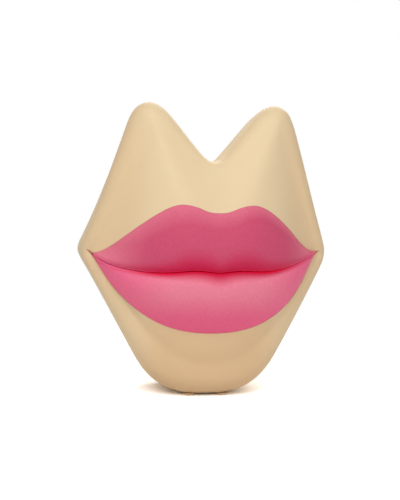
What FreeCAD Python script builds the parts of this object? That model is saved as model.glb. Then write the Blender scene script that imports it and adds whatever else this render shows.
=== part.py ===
import FreeCAD, Part
import math
import os

# An upright one-piece telephone shaped as a mouth. Millimetres. X runs to the right as seen from the
# front, the lips face -Y, Z is up, and the origin lies on the table under the middle of the body.

Vector = FreeCAD.Vector

# Body outline seen from the front: corners of the right half before they are rounded
FOOT_HEIGHT = 0.5
CHIN_HALF_WIDTH = 37.0
CHIN_RADIUS = 45.0
CHEEK_HALF_WIDTH = 91.0
CHEEK_HEIGHT = 100.0
CHEEK_RADIUS = 15.0
TEMPLE_HALF_WIDTH = 79.0
TEMPLE_HEIGHT = 134.0
TEMPLE_RADIUS = 120.0
CROWN_HALF_WIDTH = 50.0
CROWN_HEIGHT = 224.0
CROWN_RADIUS = 15.0
NOTCH_HEIGHT = 160.5
NOTCH_RADIUS = 9.0

# Body depth, each at the chin, the cheek, the crown and the notch
BACK_Y = 45.0
FRONT_Y = (-16.0, 8.0, -14.0, -16.0)
RIM_RADII = (16.0, 6.0, 15.0, 8.0)
DRAFT = (0.0, 0.5, 7.0, 6.0)
JAW_DRAFT = 2.5
SHELL_WALL = 2.5
CHIN_FOLD = 1.3
CHIN_FOLD_REACH = 7.0

# Lips: outline points from the middle below, round the corner of the mouth, to the middle above
LIP_CORNER = (81.5, 5.0, 102.5)
LIP_BELOW = ((0.0, -19.0, 47.0), (38.0, -15.0, 54.0), (60.5, -8.0, 70.0), (75.0, 1.0, 90.5))
LIP_ABOVE = ((72.5, -2.0, 105.5), (56.5, -15.0, 118.5), (40.0, -24.5, 131.5))
LIP_PEAK = (24.5, -29.5, 137.5)
LIP_BOW = ((10.0, -31.0, 133.8), (0.0, -31.0, 132.0))
MOUTH_REACH = 36.0
MOUTH_SAG = 11.7
MOUTH_SKEW = 7.6
MOUTH_WAVE = 2.2
MOUTH_WAVE_AT = 16.0
MOUTH_WAVE_WIDTH = 14.0
UPPER_SWELL = 11.5
LOWER_SWELL = 9.5
LIP_WALL = 3.0
LIP_GAP = 0.12
CREASE_GAP = 0.25
CREASE_RISE = 0.35
CORNER_SHIFT = 1.4
CORNER_SHIFT_FROM = 40.0
CORNER_DROP = 2.0
CORNER_DROP_FROM = 60.0

# Nets that carry the sculpted surfaces
JAW_STATIONS = 16
FLANK_STATIONS = 14
BOW_STATIONS = 8
SKIN_SHARES = (0.0, 0.25, 0.5, 0.75, 1.0)
RIM_ANGLES = (30.0, 60.0, 90.0)
WALL_SHARES = (0.4, 0.75, 1.0)
EASE_PASSES = (0, 5, 14, 14, 8, 3, 1, 0, 0, 0, 0)
EASE_REACH = 4.0
UPPER_PROFILE = ((0.0, 0.0), (0.14, 0.5), (0.4, 1.0), (0.7, 1.1), (0.92, 0.95), (1.0, 0.65))
LOWER_PROFILE = ((0.0, 0.0), (0.12, 0.35), (0.35, 0.85), (0.62, 1.1), (0.86, 1.0), (1.0, 0.65))
LIP_LIFTS = (0.0, 0.0, 0.0, 0.0, 0.35, 0.95, 1.0)

# Rear cover and its screws
COVER_INSET = 3.0
COVER_WALL = 2.5
COVER_GAP = 0.3
BOSS_RADIUS = 5.2
BOSS_LENGTH = 14.0
COVER_SCREW_INSET = 3.9
SCREW_RADIUS = 1.5
SCREW_PILOT = 9.0
SCREW_HEAD_RADIUS = 2.8
SCREW_HEAD_HEIGHT = 1.3
SCREW_GAP = 0.2
HEAD_SUNK = 0.4

# Lip carrier
CARRIER_Y = -4.5
CARRIER_THICKNESS = 2.5
CARRIER_HALF_WIDTH = 60.0
CARRIER_TONGUE_HALF_WIDTH = 38.0
CARRIER_LOW = 38.0
CARRIER_MIDDLE = 70.0
CARRIER_HIGH = 137.0
CARRIER_WINDOW = 12.0
LIP_PEG_X = 30.0
UPPER_PEG_Z = 112.0
LOWER_PEG_Z = 80.0
PEG_RADIUS = 3.2
SEAT_SKIN = 0.7
CARRIER_BOSS_INSET = 6.0

# Earpiece and receiver
EAR_Z = 133.0
EAR_CAP_RADIUS = 19.0
EAR_CAP_RISE = 1.8
EAR_SPIGOT_RADIUS = 17.0
EAR_FLOOR = 1.5
EAR_DISH_RADIUS = 60.0
EAR_HOLE_RADIUS = 1.1
EAR_RINGS = ((0.0, 1), (4.5, 6), (9.0, 12))
FIT_GAP = 0.2
GASKET_THICKNESS = 1.2
RECEIVER_RADIUS = 15.0
RECEIVER_DEPTH = 13.5
RECEIVER_WALL = 1.2
DIAPHRAGM_THICKNESS = 0.4
MAGNET_RADIUS = 7.0
CLAMP_THICKNESS = 2.0
CLAMP_HEIGHT = 10.0
CLAMP_POST_X = 22.0
POST_RADIUS = 3.5

# Microphone
MIC_Z = 19.0
MIC_RADIUS = 4.8
MIC_LENGTH = 6.7
BOOT_WALL = 1.7
BOOT_FRONT = 1.0
MIC_RING_WALL = 1.5
MIC_RING_HEIGHT = 6.0
MIC_HOLE_RADIUS = 0.8
MIC_HOLE_RING = 2.4

# Ringer
RINGER_X = -35.0
RINGER_Z = 31.0
RINGER_RADIUS = 11.0
RINGER_HEIGHT = 6.0
RINGER_WALL = 1.5
RINGER_DISC_THICKNESS = 0.6
RINGER_LEDGE = 1.5
RINGER_HOLE_RADIUS = 1.0
RINGER_HOLE_RING = 5.0

# Keypad
KEY_LABELS = ("1", "2", "3", "4", "5", "6", "7", "8", "9", "star", "0", "hash")
KEYPAD_Z = 78.0
KEY_PITCH_X = 18.0
KEY_PITCH_Z = 15.0
KEY_WIDTH = 13.5
KEY_HEIGHT = 10.5
KEY_CORNER = 2.2
KEY_EDGE = 0.8
KEY_RISE = 2.2
KEY_GAP = 0.3
KEY_FLANGE = 0.9
KEY_FLANGE_THICKNESS = 1.3
BEZEL_MARGIN = 6.0
BEZEL_THICKNESS = 1.8
BEZEL_PROUD = 0.5
BEZEL_LEDGE = 3.0
BEZEL_CORNER = 5.0
MAT_THICKNESS = 1.2
DOME_HEIGHT = 5.4
DOME_RADIUS = 4.4
DOME_TOP_RADIUS = 3.2
MAT_MARGIN = 1.0
BOARD_THICKNESS = 1.6
BOARD_MARGIN = 8.0
BOARD_POST_RADIUS = 2.6
BOARD_SCREW_HEAD_RADIUS = 2.2
BOARD_SCREW_HEAD = 1.2
BOARD_SCREW_RADIUS = 1.1

# Main board
MAIN_BOARD_Y = 14.0
MAIN_BOARD_HALF_WIDTH = 49.0
MAIN_BOARD_LOW = 50.0
MAIN_BOARD_HIGH = 108.0
MAIN_POST_INSET = 5.0
CHIP_SIZE = (8.0, 4.0, 24.0)
CHIP_AT = (12.0, 82.0)
CAPACITOR_RADIUS = 4.0
CAPACITOR_HEIGHT = 11.0
CAPACITORS = ((-34.0, 62.0), (-22.0, 62.0), (-34.0, 76.0))
TRANSFORMER_SIZE = (20.0, 13.0, 17.0)
TRANSFORMER_AT = (-24.0, 94.0)
CORE_WALL = 4.0

# Hook switch
HOOK_Y = 24.0
HOOK_TRAVEL = 4.0
PLUNGER_RADIUS = 6.0
PLUNGER_FLANGE_RADIUS = 7.6
PLUNGER_FLANGE = 2.0
STEM_RADIUS = 2.5
STEM_LENGTH = 20.5
HOOK_GAP = 0.2
CHASSIS_HALF_WIDTH = 21.0
CHASSIS_FRONT_Y = 1.0
CHASSIS_BACK_Y = 35.0
CHASSIS_WALL = 2.5
CHASSIS_LIFT = 2.9
BRIDGE_RISE = 12.5
BRIDGE_HALF_DEPTH = 7.0
CHEEK_X = 10.5
CHEEK_WALL = 2.0
SPRING_RADIUS = 4.6
SPRING_WIRE = 0.8
SPRING_TURNS = 5
LEVER_ARM = 14.0
LEVER_SHORT_ARM = 9.0
LEVER_WIDTH = 6.0
LEVER_THICKNESS = 2.0
LEVER_HUB_RADIUS = 3.0
LEVER_GAP = 0.2
PIN_RADIUS = 1.2
PIN_GAP = 0.05
EAR_REACH = 3.0
SWITCH_DEPTH = 8.0
SWITCH_HEIGHT = 12.0
SWITCH_BUTTON = 1.6
BALLAST_HEIGHT = 12.0
BALLAST_LENGTH = 26.0
FOOT_RADIUS = 4.0
FOOT_X = 12.0
FOOT_FRONT_Y = -1.0
FOOT_BACK_Y = 39.0
FOOT_RECESS = 1.0
CHASSIS_SCREW_X = 9.5
CHASSIS_SCREW_FRONT_Y = 6.5
CHASSIS_SCREW_BACK_Y = 30.5
SPACER_RADIUS = 3.4
SEAT_RISE = 0.9

# Line jack
JACK_X = 33.0
JACK_Z = 30.0
JACK_WIDTH = 14.0
JACK_HEIGHT = 13.0
JACK_DEPTH = 15.0
JACK_SOCKET_WIDTH = 9.8
JACK_SOCKET_HEIGHT = 6.8
JACK_SOCKET_DEPTH = 11.0
JACK_LATCH_WIDTH = 6.2
JACK_LATCH_HEIGHT = 2.6
JACK_FLANGE = 2.0
JACK_FLANGE_THICKNESS = 1.5
CONTACT_PITCH = 1.3
CONTACT_SIZE = 0.5
CONTACT_COUNT = 4

# Slide switches
SLIDE_X = 50.0
SLIDE_Z = 79.0
SLIDE_TRAVEL = 3.0
SLIDE_STEM_WIDTH = 3.0
SLIDE_STEM_LENGTH = 4.0
SLIDE_KNOB_WIDTH = 5.5
SLIDE_KNOB_LENGTH = 6.5
SLIDE_KNOB_RISE = 2.2
SLIDE_BODY_DEPTH = 6.0
SLIDE_BODY_WALL = 1.2
SLIDE_FOOT_DEPTH = 3.5
SLIDE_GAP = 0.3

# Levels that follow from the sizes above
COVER_Y = BACK_Y - COVER_INSET
COVER_IN_Y = COVER_Y - COVER_WALL
FLOOR_Z = FOOT_HEIGHT + SHELL_WALL
TIP = JAW_STATIONS
BEZEL_Y = COVER_Y + BEZEL_PROUD
BEZEL_IN_Y = BEZEL_Y - BEZEL_THICKNESS
KEY_TOP_Y = BEZEL_Y + KEY_RISE
FLANGE_TOP_Y = BEZEL_IN_Y - KEY_GAP
KEY_BOTTOM_Y = FLANGE_TOP_Y - KEY_FLANGE_THICKNESS
MAT_TOP_Y = KEY_BOTTOM_Y - KEY_GAP - DOME_HEIGHT
BOARD_TOP_Y = MAT_TOP_Y - MAT_THICKNESS
BOARD_BOTTOM_Y = BOARD_TOP_Y - BOARD_THICKNESS
KEYS_HALF_WIDTH = KEY_PITCH_X + KEY_WIDTH / 2
KEYS_HALF_HEIGHT = KEY_PITCH_Z * 1.5 + KEY_HEIGHT / 2
MAIN_BOARD_TOP_Y = MAIN_BOARD_Y + BOARD_THICKNESS
CHASSIS_LOW_Z = FLOOR_Z + CHASSIS_LIFT
CHASSIS_TOP_Z = CHASSIS_LOW_Z + CHASSIS_WALL
FLANGE_Z = CHASSIS_TOP_Z + HOOK_TRAVEL + HOOK_GAP
STEM_Z = FLANGE_Z + PLUNGER_FLANGE
BRIDGE_Z = STEM_Z + BRIDGE_RISE
STEM_TOP_Z = STEM_Z + STEM_LENGTH
LEVER_Z = STEM_TOP_Z + LEVER_GAP
PIVOT_Y = HOOK_Y - LEVER_ARM
PIVOT_Z = LEVER_Z + LEVER_THICKNESS / 2


def box(x, y, z):
    """Block between the low and high value of each pair."""
    return Part.makeBox(x[1] - x[0], y[1] - y[0], z[1] - z[0], Vector(x[0], y[0], z[0]))


def centred(middle, size):
    """Low and high value of a size about its middle."""
    return (middle - size / 2, middle + size / 2)


def rod_x(y, z, radius, ends):
    return Part.makeCylinder(radius, ends[1] - ends[0], Vector(ends[0], y, z), Vector(1, 0, 0))


def rod_y(x, z, radius, ends):
    return Part.makeCylinder(radius, ends[1] - ends[0], Vector(x, ends[0], z), Vector(0, 1, 0))


def rod_z(x, y, radius, ends):
    return Part.makeCylinder(radius, ends[1] - ends[0], Vector(x, y, ends[0]), Vector(0, 0, 1))


def rounded_block(x, y, z, corner):
    """Block whose four edges along Y are rounded."""
    block = box(x, y, z)
    edges = [e for e in block.Edges if abs(e.tangentAt(e.FirstParameter).y) > 0.9]
    return block.makeFillet(corner, edges)


def tube_y(x, z, outer, inner, ends):
    return rod_y(x, z, outer, ends).cut(rod_y(x, z, inner, ends))


def hole_ring(x, z, rings, radius, ends):
    """Rods on concentric rings of (ring radius, count), for a grille."""
    rods = []
    for ring, count in rings:
        for k in range(count):
            angle = 2 * math.pi * k / count
            rods.append(rod_y(x + ring * math.cos(angle), z + ring * math.sin(angle), radius, ends))
    return rods


def both_sides(spots):
    """The given (x, z) spots and their mirror images."""
    return [(side * x, z) for x, z in spots for side in (1, -1)]


def group(shapes):
    return Part.makeCompound(shapes)


def mix(a, b, share):
    return a * (1 - share) + b * share


# Outline and nets of the sculpted pieces

def rounded_path(corners):
    """Edges through (x, z, radius) corners, with each round split in two at its middle."""
    edges = []
    points = [Vector(x, 0, z) for x, z, radius in corners]
    here = points[0]
    for k in range(1, len(points) - 1):
        radius = corners[k][2]
        back = (points[k - 1] - points[k]).normalize()
        ahead = (points[k + 1] - points[k]).normalize()
        half = back.getAngle(ahead) / 2
        middle = (back + ahead).normalize()
        start = points[k] + back * (radius / math.tan(half))
        end = points[k] + ahead * (radius / math.tan(half))
        centre = points[k] + middle * (radius / math.sin(half))
        apex = centre - middle * radius
        edges.append(Part.LineSegment(here, start).toShape())
        for one, two in ((start, apex), (apex, end)):
            bulge = ((one - centre).normalize() + (two - centre).normalize()).normalize()
            edges.append(Part.Arc(one, centre + bulge * radius, two).toShape())
        here = end
    return edges


def stations(edges, count):
    """Points along a chain of edges, closer together towards both ends."""
    fine = Part.Wire(edges).discretize(Number=2001)
    points = []
    for k in range(count + 1):
        even = k / count
        crowded = (1 - math.cos(math.pi * even)) / 2
        points.append(fine[round(mix(even, crowded, 0.6) * (len(fine) - 1))])
    return points


def mirrored(half):
    """Closed ring from the right half, which runs from the middle below to the middle above."""
    return half + [Vector(-p.x, p.y, p.z) for p in reversed(half[1:-1])]


def body_ring():
    corners = (
        (0, FOOT_HEIGHT, 0),
        (CHIN_HALF_WIDTH, FOOT_HEIGHT, CHIN_RADIUS),
        (CHEEK_HALF_WIDTH, CHEEK_HEIGHT, CHEEK_RADIUS),
        (TEMPLE_HALF_WIDTH, TEMPLE_HEIGHT, TEMPLE_RADIUS),
        (CROWN_HALF_WIDTH, CROWN_HEIGHT, CROWN_RADIUS),
        (0, NOTCH_HEIGHT, NOTCH_RADIUS),
        (-CROWN_HALF_WIDTH, CROWN_HEIGHT, 0),
    )
    edges = rounded_path(corners)
    jaw = stations(edges[:5], JAW_STATIONS)
    flank = stations(edges[5:11], FLANK_STATIONS)
    bow = stations(edges[11:14], BOW_STATIONS)
    return mirrored(jaw + flank[1:] + bow[1:])


def level_curve(points, level):
    """Smooth curve through points that runs level at the one with that index."""
    spots = [Vector(*p) for p in points]
    before = spots[max(level - 1, 0)]
    after = spots[min(level + 1, len(spots) - 1)]
    run = Vector(after.x - before.x, 0, 0)
    curve = Part.BSplineCurve()
    flags = [k == level for k in range(len(spots))]
    curve.interpolate(Points=spots, Tangents=[run] * len(spots), TangentFlags=flags)
    return curve


def lip_ring():
    below = level_curve(LIP_BELOW + (LIP_CORNER,), 0)
    above_points = (LIP_CORNER,) + LIP_ABOVE + (LIP_PEAK,) + LIP_BOW
    above = level_curve(above_points, len(above_points) - 1)
    peak = above.parameter(Vector(*LIP_PEAK))
    rise = above.copy()
    rise.segment(above.FirstParameter, peak)
    bow = above.copy()
    bow.segment(peak, above.LastParameter)
    one = stations([below.toShape()], JAW_STATIONS)
    two = stations([rise.toShape()], FLANK_STATIONS)
    three = stations([bow.toShape()], BOW_STATIONS)
    return mirrored(one + two[1:] + three[1:])


def towards_corner(x, start):
    """Smooth rise from 0 at that distance from the middle to 1 at a corner of the mouth."""
    share = max(0.0, min(1.0, (x - start) / (LIP_CORNER[0] - start)))
    return share * share * (3 - 2 * share)


def skewed(point):
    """Point of the mouth once both its corners are moved to the left, and the left one down."""
    left = CORNER_SHIFT * towards_corner(abs(point.x), CORNER_SHIFT_FROM)
    drop = CORNER_DROP * towards_corner(-point.x, CORNER_DROP_FROM)
    return point - Vector(left, 0, drop)


def inward_normals(ring):
    normals = []
    for i in range(len(ring)):
        run = ring[(i + 1) % len(ring)] - ring[i - 1]
        normals.append(Vector(-run.z, 0, run.x).normalize())
    return normals


def along(values, index):
    """Value at a station, easing between the chin, the cheek, the crown and the notch."""
    quarter = math.pi / 2
    jaw = index / JAW_STATIONS
    flank = (index - JAW_STATIONS) / FLANK_STATIONS
    bow = (index - JAW_STATIONS - FLANK_STATIONS) / BOW_STATIONS
    if jaw <= 1:
        return mix(values[0], values[1], 1 - math.cos(quarter * jaw))
    if flank <= 1:
        return mix(values[1], values[2], math.sin(quarter * flank))
    return mix(values[2], values[3], (1 - math.cos(math.pi * bow)) / 2)


def eased(row, passes):
    """Closed row drawn towards its neighbours in each pass, but not beside the corners of the mouth."""
    for turn in range(passes):
        drawn = []
        for i, point in enumerate(row):
            index = min(i, len(row) - i)
            free = 1 - math.exp(-((index - JAW_STATIONS) / EASE_REACH) ** 2)
            drawn.append(mix(point, (row[i - 1] + row[(i + 1) % len(row)]) * 0.5, free / 2))
        row = drawn
    return row


def skin_net():
    """Rows round the body from the edge of the lips, over the rim, to the back."""
    lips = [skewed(point) for point in lip_ring()]
    ring = body_ring()
    inward = inward_normals(ring)
    lines = []
    for i, edge in enumerate(ring):
        index = min(i, len(ring) - i)
        rim = along(RIM_RADII, index)
        front = along(FRONT_Y, index)
        jaw = min(1, index / JAW_STATIONS)
        draft = along(DRAFT, index) + JAW_DRAFT * math.sin(math.pi * jaw) ** 2
        fold = CHIN_FOLD * math.exp(-(index / CHIN_FOLD_REACH) ** 2)
        face = edge + inward[i] * rim + Vector(0, front, 0)
        line = [mix(lips[i], face, share) for share in SKIN_SHARES]
        line[2] -= Vector(0, fold, 0)
        line[3] += Vector(0, fold, 0)
        for angle in RIM_ANGLES:
            turn = math.radians(angle)
            inset = rim * (1 - math.sin(turn))
            line.append(edge + inward[i] * inset + Vector(0, front + rim * (1 - math.cos(turn)), 0))
        for share in WALL_SHARES:
            depth = mix(front + rim, BACK_Y, share)
            line.append(edge + inward[i] * (draft * share) + Vector(0, depth, 0))
        lines.append(line)
    rows = [list(row) for row in zip(*lines)]
    return [eased(row, passes) for row, passes in zip(rows, EASE_PASSES)]


def inner_net(rows, wall):
    """Net that lies a wall's thickness inside a closed net; its first row moves straight back."""
    straight = Vector(0, 1, 0)
    inner = [[point + straight * wall for point in rows[0]]]
    last = len(rows) - 1
    for k in range(1, len(rows)):
        line = []
        for i, point in enumerate(rows[k]):
            run = rows[k][(i + 1) % len(rows[k])] - rows[k][i - 1]
            climb = straight if k == last else rows[k + 1][i] - rows[k - 1][i]
            square = run.cross(climb).normalize()
            way = mix(straight, square, min(1, k / (len(SKIN_SHARES) - 1)))
            line.append(point + way.normalize() * wall)
        inner.append(line)
    return inner


def net_face(rows, closed):
    """Smooth face over a net; two rows alone are joined by straight lines."""
    across = len(rows)
    around = len(rows[0])
    bend = 3 if across > 2 else 1
    v_knots = list(range(across - bend + 1))
    v_mults = [1] * len(v_knots)
    v_mults[0] = v_mults[-1] = bend + 1
    u_knots = list(range(around + 1 if closed else around - 2))
    u_mults = [1] * len(u_knots)
    if not closed:
        u_mults[0] = u_mults[-1] = 4
    poles = [[row[i] for row in rows] for i in range(around)]
    surface = Part.BSplineSurface()
    surface.buildFromPolesMultsKnots(poles, u_mults, v_mults, u_knots, v_knots, closed, False, 3, bend)
    return surface.toShape()


def solid_between(front, back, closed):
    """Solid between two nets of the same size, walled along their edges."""
    nets = [front, back, [front[0], back[0]], [front[-1], back[-1]]]
    faces = [net_face(rows, closed) for rows in nets]
    if not closed:
        for end in (0, -1):
            faces.append(net_face([[row[end] for row in front], [row[end] for row in back]], False))
    shell = Part.makeShell(faces)
    shell.sewShape()
    solid = Part.makeSolid(shell)
    if solid.Volume < 0:
        solid.reverse()
    return solid


def ring_face(points):
    """Flat face inside a closed smooth curve over ring points."""
    curve = Part.BSplineCurve()
    knots = list(range(len(points) + 1))
    curve.buildFromPolesMultsKnots(points, [1] * len(knots), knots, True, 3)
    return Part.Face(Part.Wire([curve.toShape()]))


# Lips

def lip_fullness(x):
    return max(0.0, 1 - (x / LIP_CORNER[0]) ** 2)


def mouth_point(x, side):
    """Point of the closed mouth's line, on the upper lip's side (+1) or the lower lip's (-1)."""
    full = lip_fullness(x)
    share = max(-1.0, min(1.0, x / LIP_CORNER[0]))
    wave = MOUTH_WAVE * math.exp(-((abs(x) - MOUTH_WAVE_AT) / MOUTH_WAVE_WIDTH) ** 2)
    sag = (MOUTH_SAG - MOUTH_SKEW * share ** 3) * (1 - share ** 4) - wave * full
    y = LIP_CORNER[1] - MOUTH_REACH * full ** 0.75
    return Vector(x, y, LIP_CORNER[2] - sag + side * CREASE_GAP / 2)


def lip_solid(side, profile, swell):
    ring = lip_ring()
    edge = [p + n * LIP_GAP for p, n in zip(ring, inward_normals(ring))]
    if side > 0:
        edge = edge[TIP:len(edge) - TIP + 1]
    else:
        edge = edge[len(edge) - TIP:] + edge[:TIP + 1]
    edge[0] = mix(edge[0], edge[1], 0.45)
    edge[-1] = mix(edge[-1], edge[-2], 0.45)
    front = []
    back = []
    for spot in edge:
        weight = lip_fullness(spot.x) ** 0.6
        mouth = mouth_point(spot.x, side)
        line = [mix(spot, mouth, share) - Vector(0, swell * weight * rise, 0) for share, rise in profile]
        line.append(mouth - Vector(0, swell * weight * CREASE_RISE, 0))
        thick = LIP_WALL * (0.3 + 0.7 * weight)
        lift = side * min(thick, 0.6 * abs(spot.z - mouth.z))
        front.append(line)
        back.append([point + Vector(0, thick, lift * share) for point, share in zip(line, LIP_LIFTS)])
    rows = [[skewed(point) for point in row] for row in zip(*front)]
    behind = [[skewed(point) for point in row] for row in zip(*back)]
    return solid_between(rows, behind, False)


def seat_depth(solid, x, z, radius):
    """Depth where a rod of that radius starts inside a front piece's wall without showing outside."""
    depths = []
    for k in range(8):
        angle = math.pi / 4 * k
        spot = Vector(x + radius * math.cos(angle), 0, z + radius * math.sin(angle))
        probe = Part.LineSegment(spot - Vector(0, 2 * BACK_Y, 0), spot + Vector(0, CARRIER_Y, 0)).toShape()
        depths += sorted(vertex.Y for vertex in probe.common(solid).Vertexes)[:1]
    return max(depths) + SEAT_SKIN


def lip_with_pegs(side, profile, swell, peg_z):
    lip = lip_solid(side, profile, swell)
    pegs = []
    pilots = []
    for x, z in both_sides([(LIP_PEG_X, peg_z)]):
        start = seat_depth(lip, x, z, PEG_RADIUS)
        pegs.append(rod_y(x, z, PEG_RADIUS, (start, CARRIER_Y)))
        pilots.append(rod_y(x, z, SCREW_RADIUS, (CARRIER_Y - SCREW_PILOT, CARRIER_Y)))
    return lip.fuse(pegs).cut(pilots)


# Screws: the head's seat lies at y, and the shank runs along -Y from a rear head or +Y from a front one

def screw_y(x, z, seat, way, shank, head_radius, head_height, radius):
    head = rod_y(x, z, head_radius, sorted((seat, seat - way * head_height)))
    return head.fuse(rod_y(x, z, radius, sorted((seat, seat + way * shank))))


# Casing

def cover_spots(inner):
    """Centres of the cover's screw bosses, which bite into the shell's wall."""
    ring = inner[-1]
    inward = inward_normals(ring)
    crown = JAW_STATIONS + FLANK_STATIONS
    spots = []
    for index in (JAW_STATIONS * 5 // 8, JAW_STATIONS, crown):
        spot = ring[index] + inward[index] * COVER_SCREW_INSET
        spots.append((spot.x, spot.z))
    return both_sides(spots)


def carrier_spots():
    inset = CARRIER_BOSS_INSET
    high = (CARRIER_HALF_WIDTH - inset, CARRIER_HIGH - inset)
    low = (CARRIER_TONGUE_HALF_WIDTH - inset, CARRIER_LOW + inset)
    return both_sides([high, low])


def base_seat():
    """Height of the seat of the screws that come up through the floor."""
    return FOOT_HEIGHT + HEAD_SUNK + SCREW_HEAD_HEIGHT


def base_spots():
    """Screw places (x, y) in the floor under the hook switch's chassis."""
    rows = (CHASSIS_SCREW_FRONT_Y, CHASSIS_SCREW_BACK_Y)
    return [(side * CHASSIS_SCREW_X, y) for y in rows for side in (1, -1)]


def front_shell(skin, spots):
    adds = []
    cuts = []
    for x, z in spots:
        adds.append(rod_y(x, z, BOSS_RADIUS, (COVER_IN_Y - BOSS_LENGTH, COVER_IN_Y)))
        cuts.append(rod_y(x, z, SCREW_RADIUS, (COVER_IN_Y - SCREW_PILOT, COVER_IN_Y)))
    for x, z in carrier_spots():
        start = seat_depth(skin, x, z, PEG_RADIUS)
        adds.append(rod_y(x, z, PEG_RADIUS, (start, CARRIER_Y)))
        cuts.append(rod_y(x, z, SCREW_RADIUS, (CARRIER_Y - SCREW_PILOT / 3, CARRIER_Y)))
    bottom = FOOT_HEIGHT - 1
    for y in (FOOT_FRONT_Y, FOOT_BACK_Y):
        for x in (FOOT_X, -FOOT_X):
            cuts.append(rod_z(x, y, FOOT_RADIUS + SCREW_GAP, (bottom, FOOT_HEIGHT + FOOT_RECESS)))
    cuts.append(rod_z(0, HOOK_Y, PLUNGER_RADIUS + HOOK_GAP, (bottom, CHASSIS_TOP_Z)))
    for x, y in base_spots():
        seat = base_seat()
        adds.append(rod_z(x, y, SPACER_RADIUS + SCREW_GAP, (FLOOR_Z - SEAT_RISE, FLOOR_Z + SEAT_RISE)))
        cuts.append(rod_z(x, y, SCREW_HEAD_RADIUS + SCREW_GAP, (bottom, seat)))
        cuts.append(rod_z(x, y, SCREW_RADIUS + SCREW_GAP, (bottom, CHASSIS_TOP_Z)))
    return skin.fuse(adds).cut(cuts)


def keypad_posts():
    x = KEYS_HALF_WIDTH + BOARD_MARGIN - BOARD_POST_RADIUS - 1
    rise = KEYS_HALF_HEIGHT + BOARD_MARGIN - BOARD_POST_RADIUS - 1
    return both_sides([(x, KEYPAD_Z - rise), (x, KEYPAD_Z + rise)])


def main_posts():
    x = MAIN_BOARD_HALF_WIDTH - MAIN_POST_INSET
    return both_sides([(x, MAIN_BOARD_LOW + MAIN_POST_INSET), (x, MAIN_BOARD_HIGH - MAIN_POST_INSET)])


def bezel_block(grow, ends):
    half = KEYS_HALF_WIDTH + BEZEL_MARGIN + grow
    rise = KEYS_HALF_HEIGHT + BEZEL_MARGIN + grow
    return rounded_block((-half, half), ends, (KEYPAD_Z - rise, KEYPAD_Z + rise), BEZEL_CORNER + grow)


def rear_cover(inner, spots):
    ring = inner[-1]
    inset = [p + n * COVER_GAP for p, n in zip(ring, inward_normals(ring))]
    outline = [Vector(p.x, COVER_IN_Y, p.z) for p in inset]
    plate = ring_face(outline).extrude(Vector(0, COVER_WALL, 0))
    through = (COVER_IN_Y - 1, COVER_Y + 1)
    posts = []
    cuts = []
    for x, z in spots:
        cuts.append(rod_y(x, z, SCREW_RADIUS + SCREW_GAP, through))
        cuts.append(rod_y(x, z, SCREW_HEAD_RADIUS + SCREW_GAP, (COVER_Y - SCREW_HEAD_HEIGHT, through[1])))
    for x, z in keypad_posts():
        posts.append(tube_y(x, z, BOARD_POST_RADIUS, BOARD_SCREW_RADIUS, (BOARD_TOP_Y, COVER_IN_Y)))
    for x, z in main_posts():
        posts.append(tube_y(x, z, POST_RADIUS, BOARD_SCREW_RADIUS, (MAIN_BOARD_TOP_Y, COVER_IN_Y)))
    for x, z in both_sides([(CLAMP_POST_X, EAR_Z)]):
        posts.append(tube_y(x, z, POST_RADIUS, BOARD_SCREW_RADIUS, (receiver_back(), COVER_IN_Y)))
    ring_inner = mic_boot_radius() + FIT_GAP / 2
    posts.append(tube_y(0, MIC_Z, ring_inner + MIC_RING_WALL, ring_inner,
                        (COVER_IN_Y - MIC_RING_HEIGHT, COVER_IN_Y)))
    cuts.append(rod_y(0, EAR_Z, EAR_SPIGOT_RADIUS + FIT_GAP, through))
    cuts.append(bezel_block(FIT_GAP, (BEZEL_IN_Y, through[1])))
    cuts.append(bezel_block(-BEZEL_LEDGE, through))
    cuts += hole_ring(0, MIC_Z, ((0.0, 1), (MIC_HOLE_RING, 5)), MIC_HOLE_RADIUS, through)
    cuts += hole_ring(RINGER_X, RINGER_Z, ((0.0, 1), (RINGER_HOLE_RING, 8)), RINGER_HOLE_RADIUS, through)
    cuts.append(box(centred(JACK_X, JACK_WIDTH + FIT_GAP), through, centred(JACK_Z, JACK_HEIGHT + FIT_GAP)))
    for side in (1, -1):
        slot = SLIDE_STEM_LENGTH + 2 * (SLIDE_TRAVEL + SLIDE_GAP)
        width = SLIDE_STEM_WIDTH + 2 * SLIDE_GAP
        cuts.append(box(centred(side * SLIDE_X, width), through, centred(SLIDE_Z, slot)))
    return plate.fuse(posts).cut(cuts)


def cover_screws(spots):
    seat = COVER_Y - SCREW_HEAD_HEIGHT
    shank = COVER_WALL - SCREW_HEAD_HEIGHT + SCREW_PILOT
    return group([screw_y(x, z, seat, -1, shank, SCREW_HEAD_RADIUS, SCREW_HEAD_HEIGHT, SCREW_RADIUS)
                  for x, z in spots])


def lip_peg_spots():
    return both_sides([(LIP_PEG_X, UPPER_PEG_Z), (LIP_PEG_X, LOWER_PEG_Z)])


def lip_carrier():
    y = (CARRIER_Y, CARRIER_Y + CARRIER_THICKNESS)
    wide = (-CARRIER_HALF_WIDTH, CARRIER_HALF_WIDTH)
    tongue = (-CARRIER_TONGUE_HALF_WIDTH, CARRIER_TONGUE_HALF_WIDTH)
    plate = rounded_block(wide, y, (CARRIER_MIDDLE, CARRIER_HIGH), CARRIER_BOSS_INSET)
    lower = rounded_block(tongue, y, (CARRIER_LOW, UPPER_PEG_Z), CARRIER_BOSS_INSET)
    plate = plate.fuse(lower).removeSplitter()
    window = LIP_PEG_X - PEG_RADIUS - CARRIER_THICKNESS
    middle = (UPPER_PEG_Z + LOWER_PEG_Z) / 2
    cuts = [rounded_block((-window, window), y, centred(middle, 2 * CARRIER_WINDOW), CARRIER_BOSS_INSET)]
    for x, z in carrier_spots() + lip_peg_spots():
        cuts.append(rod_y(x, z, SCREW_RADIUS + SCREW_GAP, y))
    return plate.cut(cuts)


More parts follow.
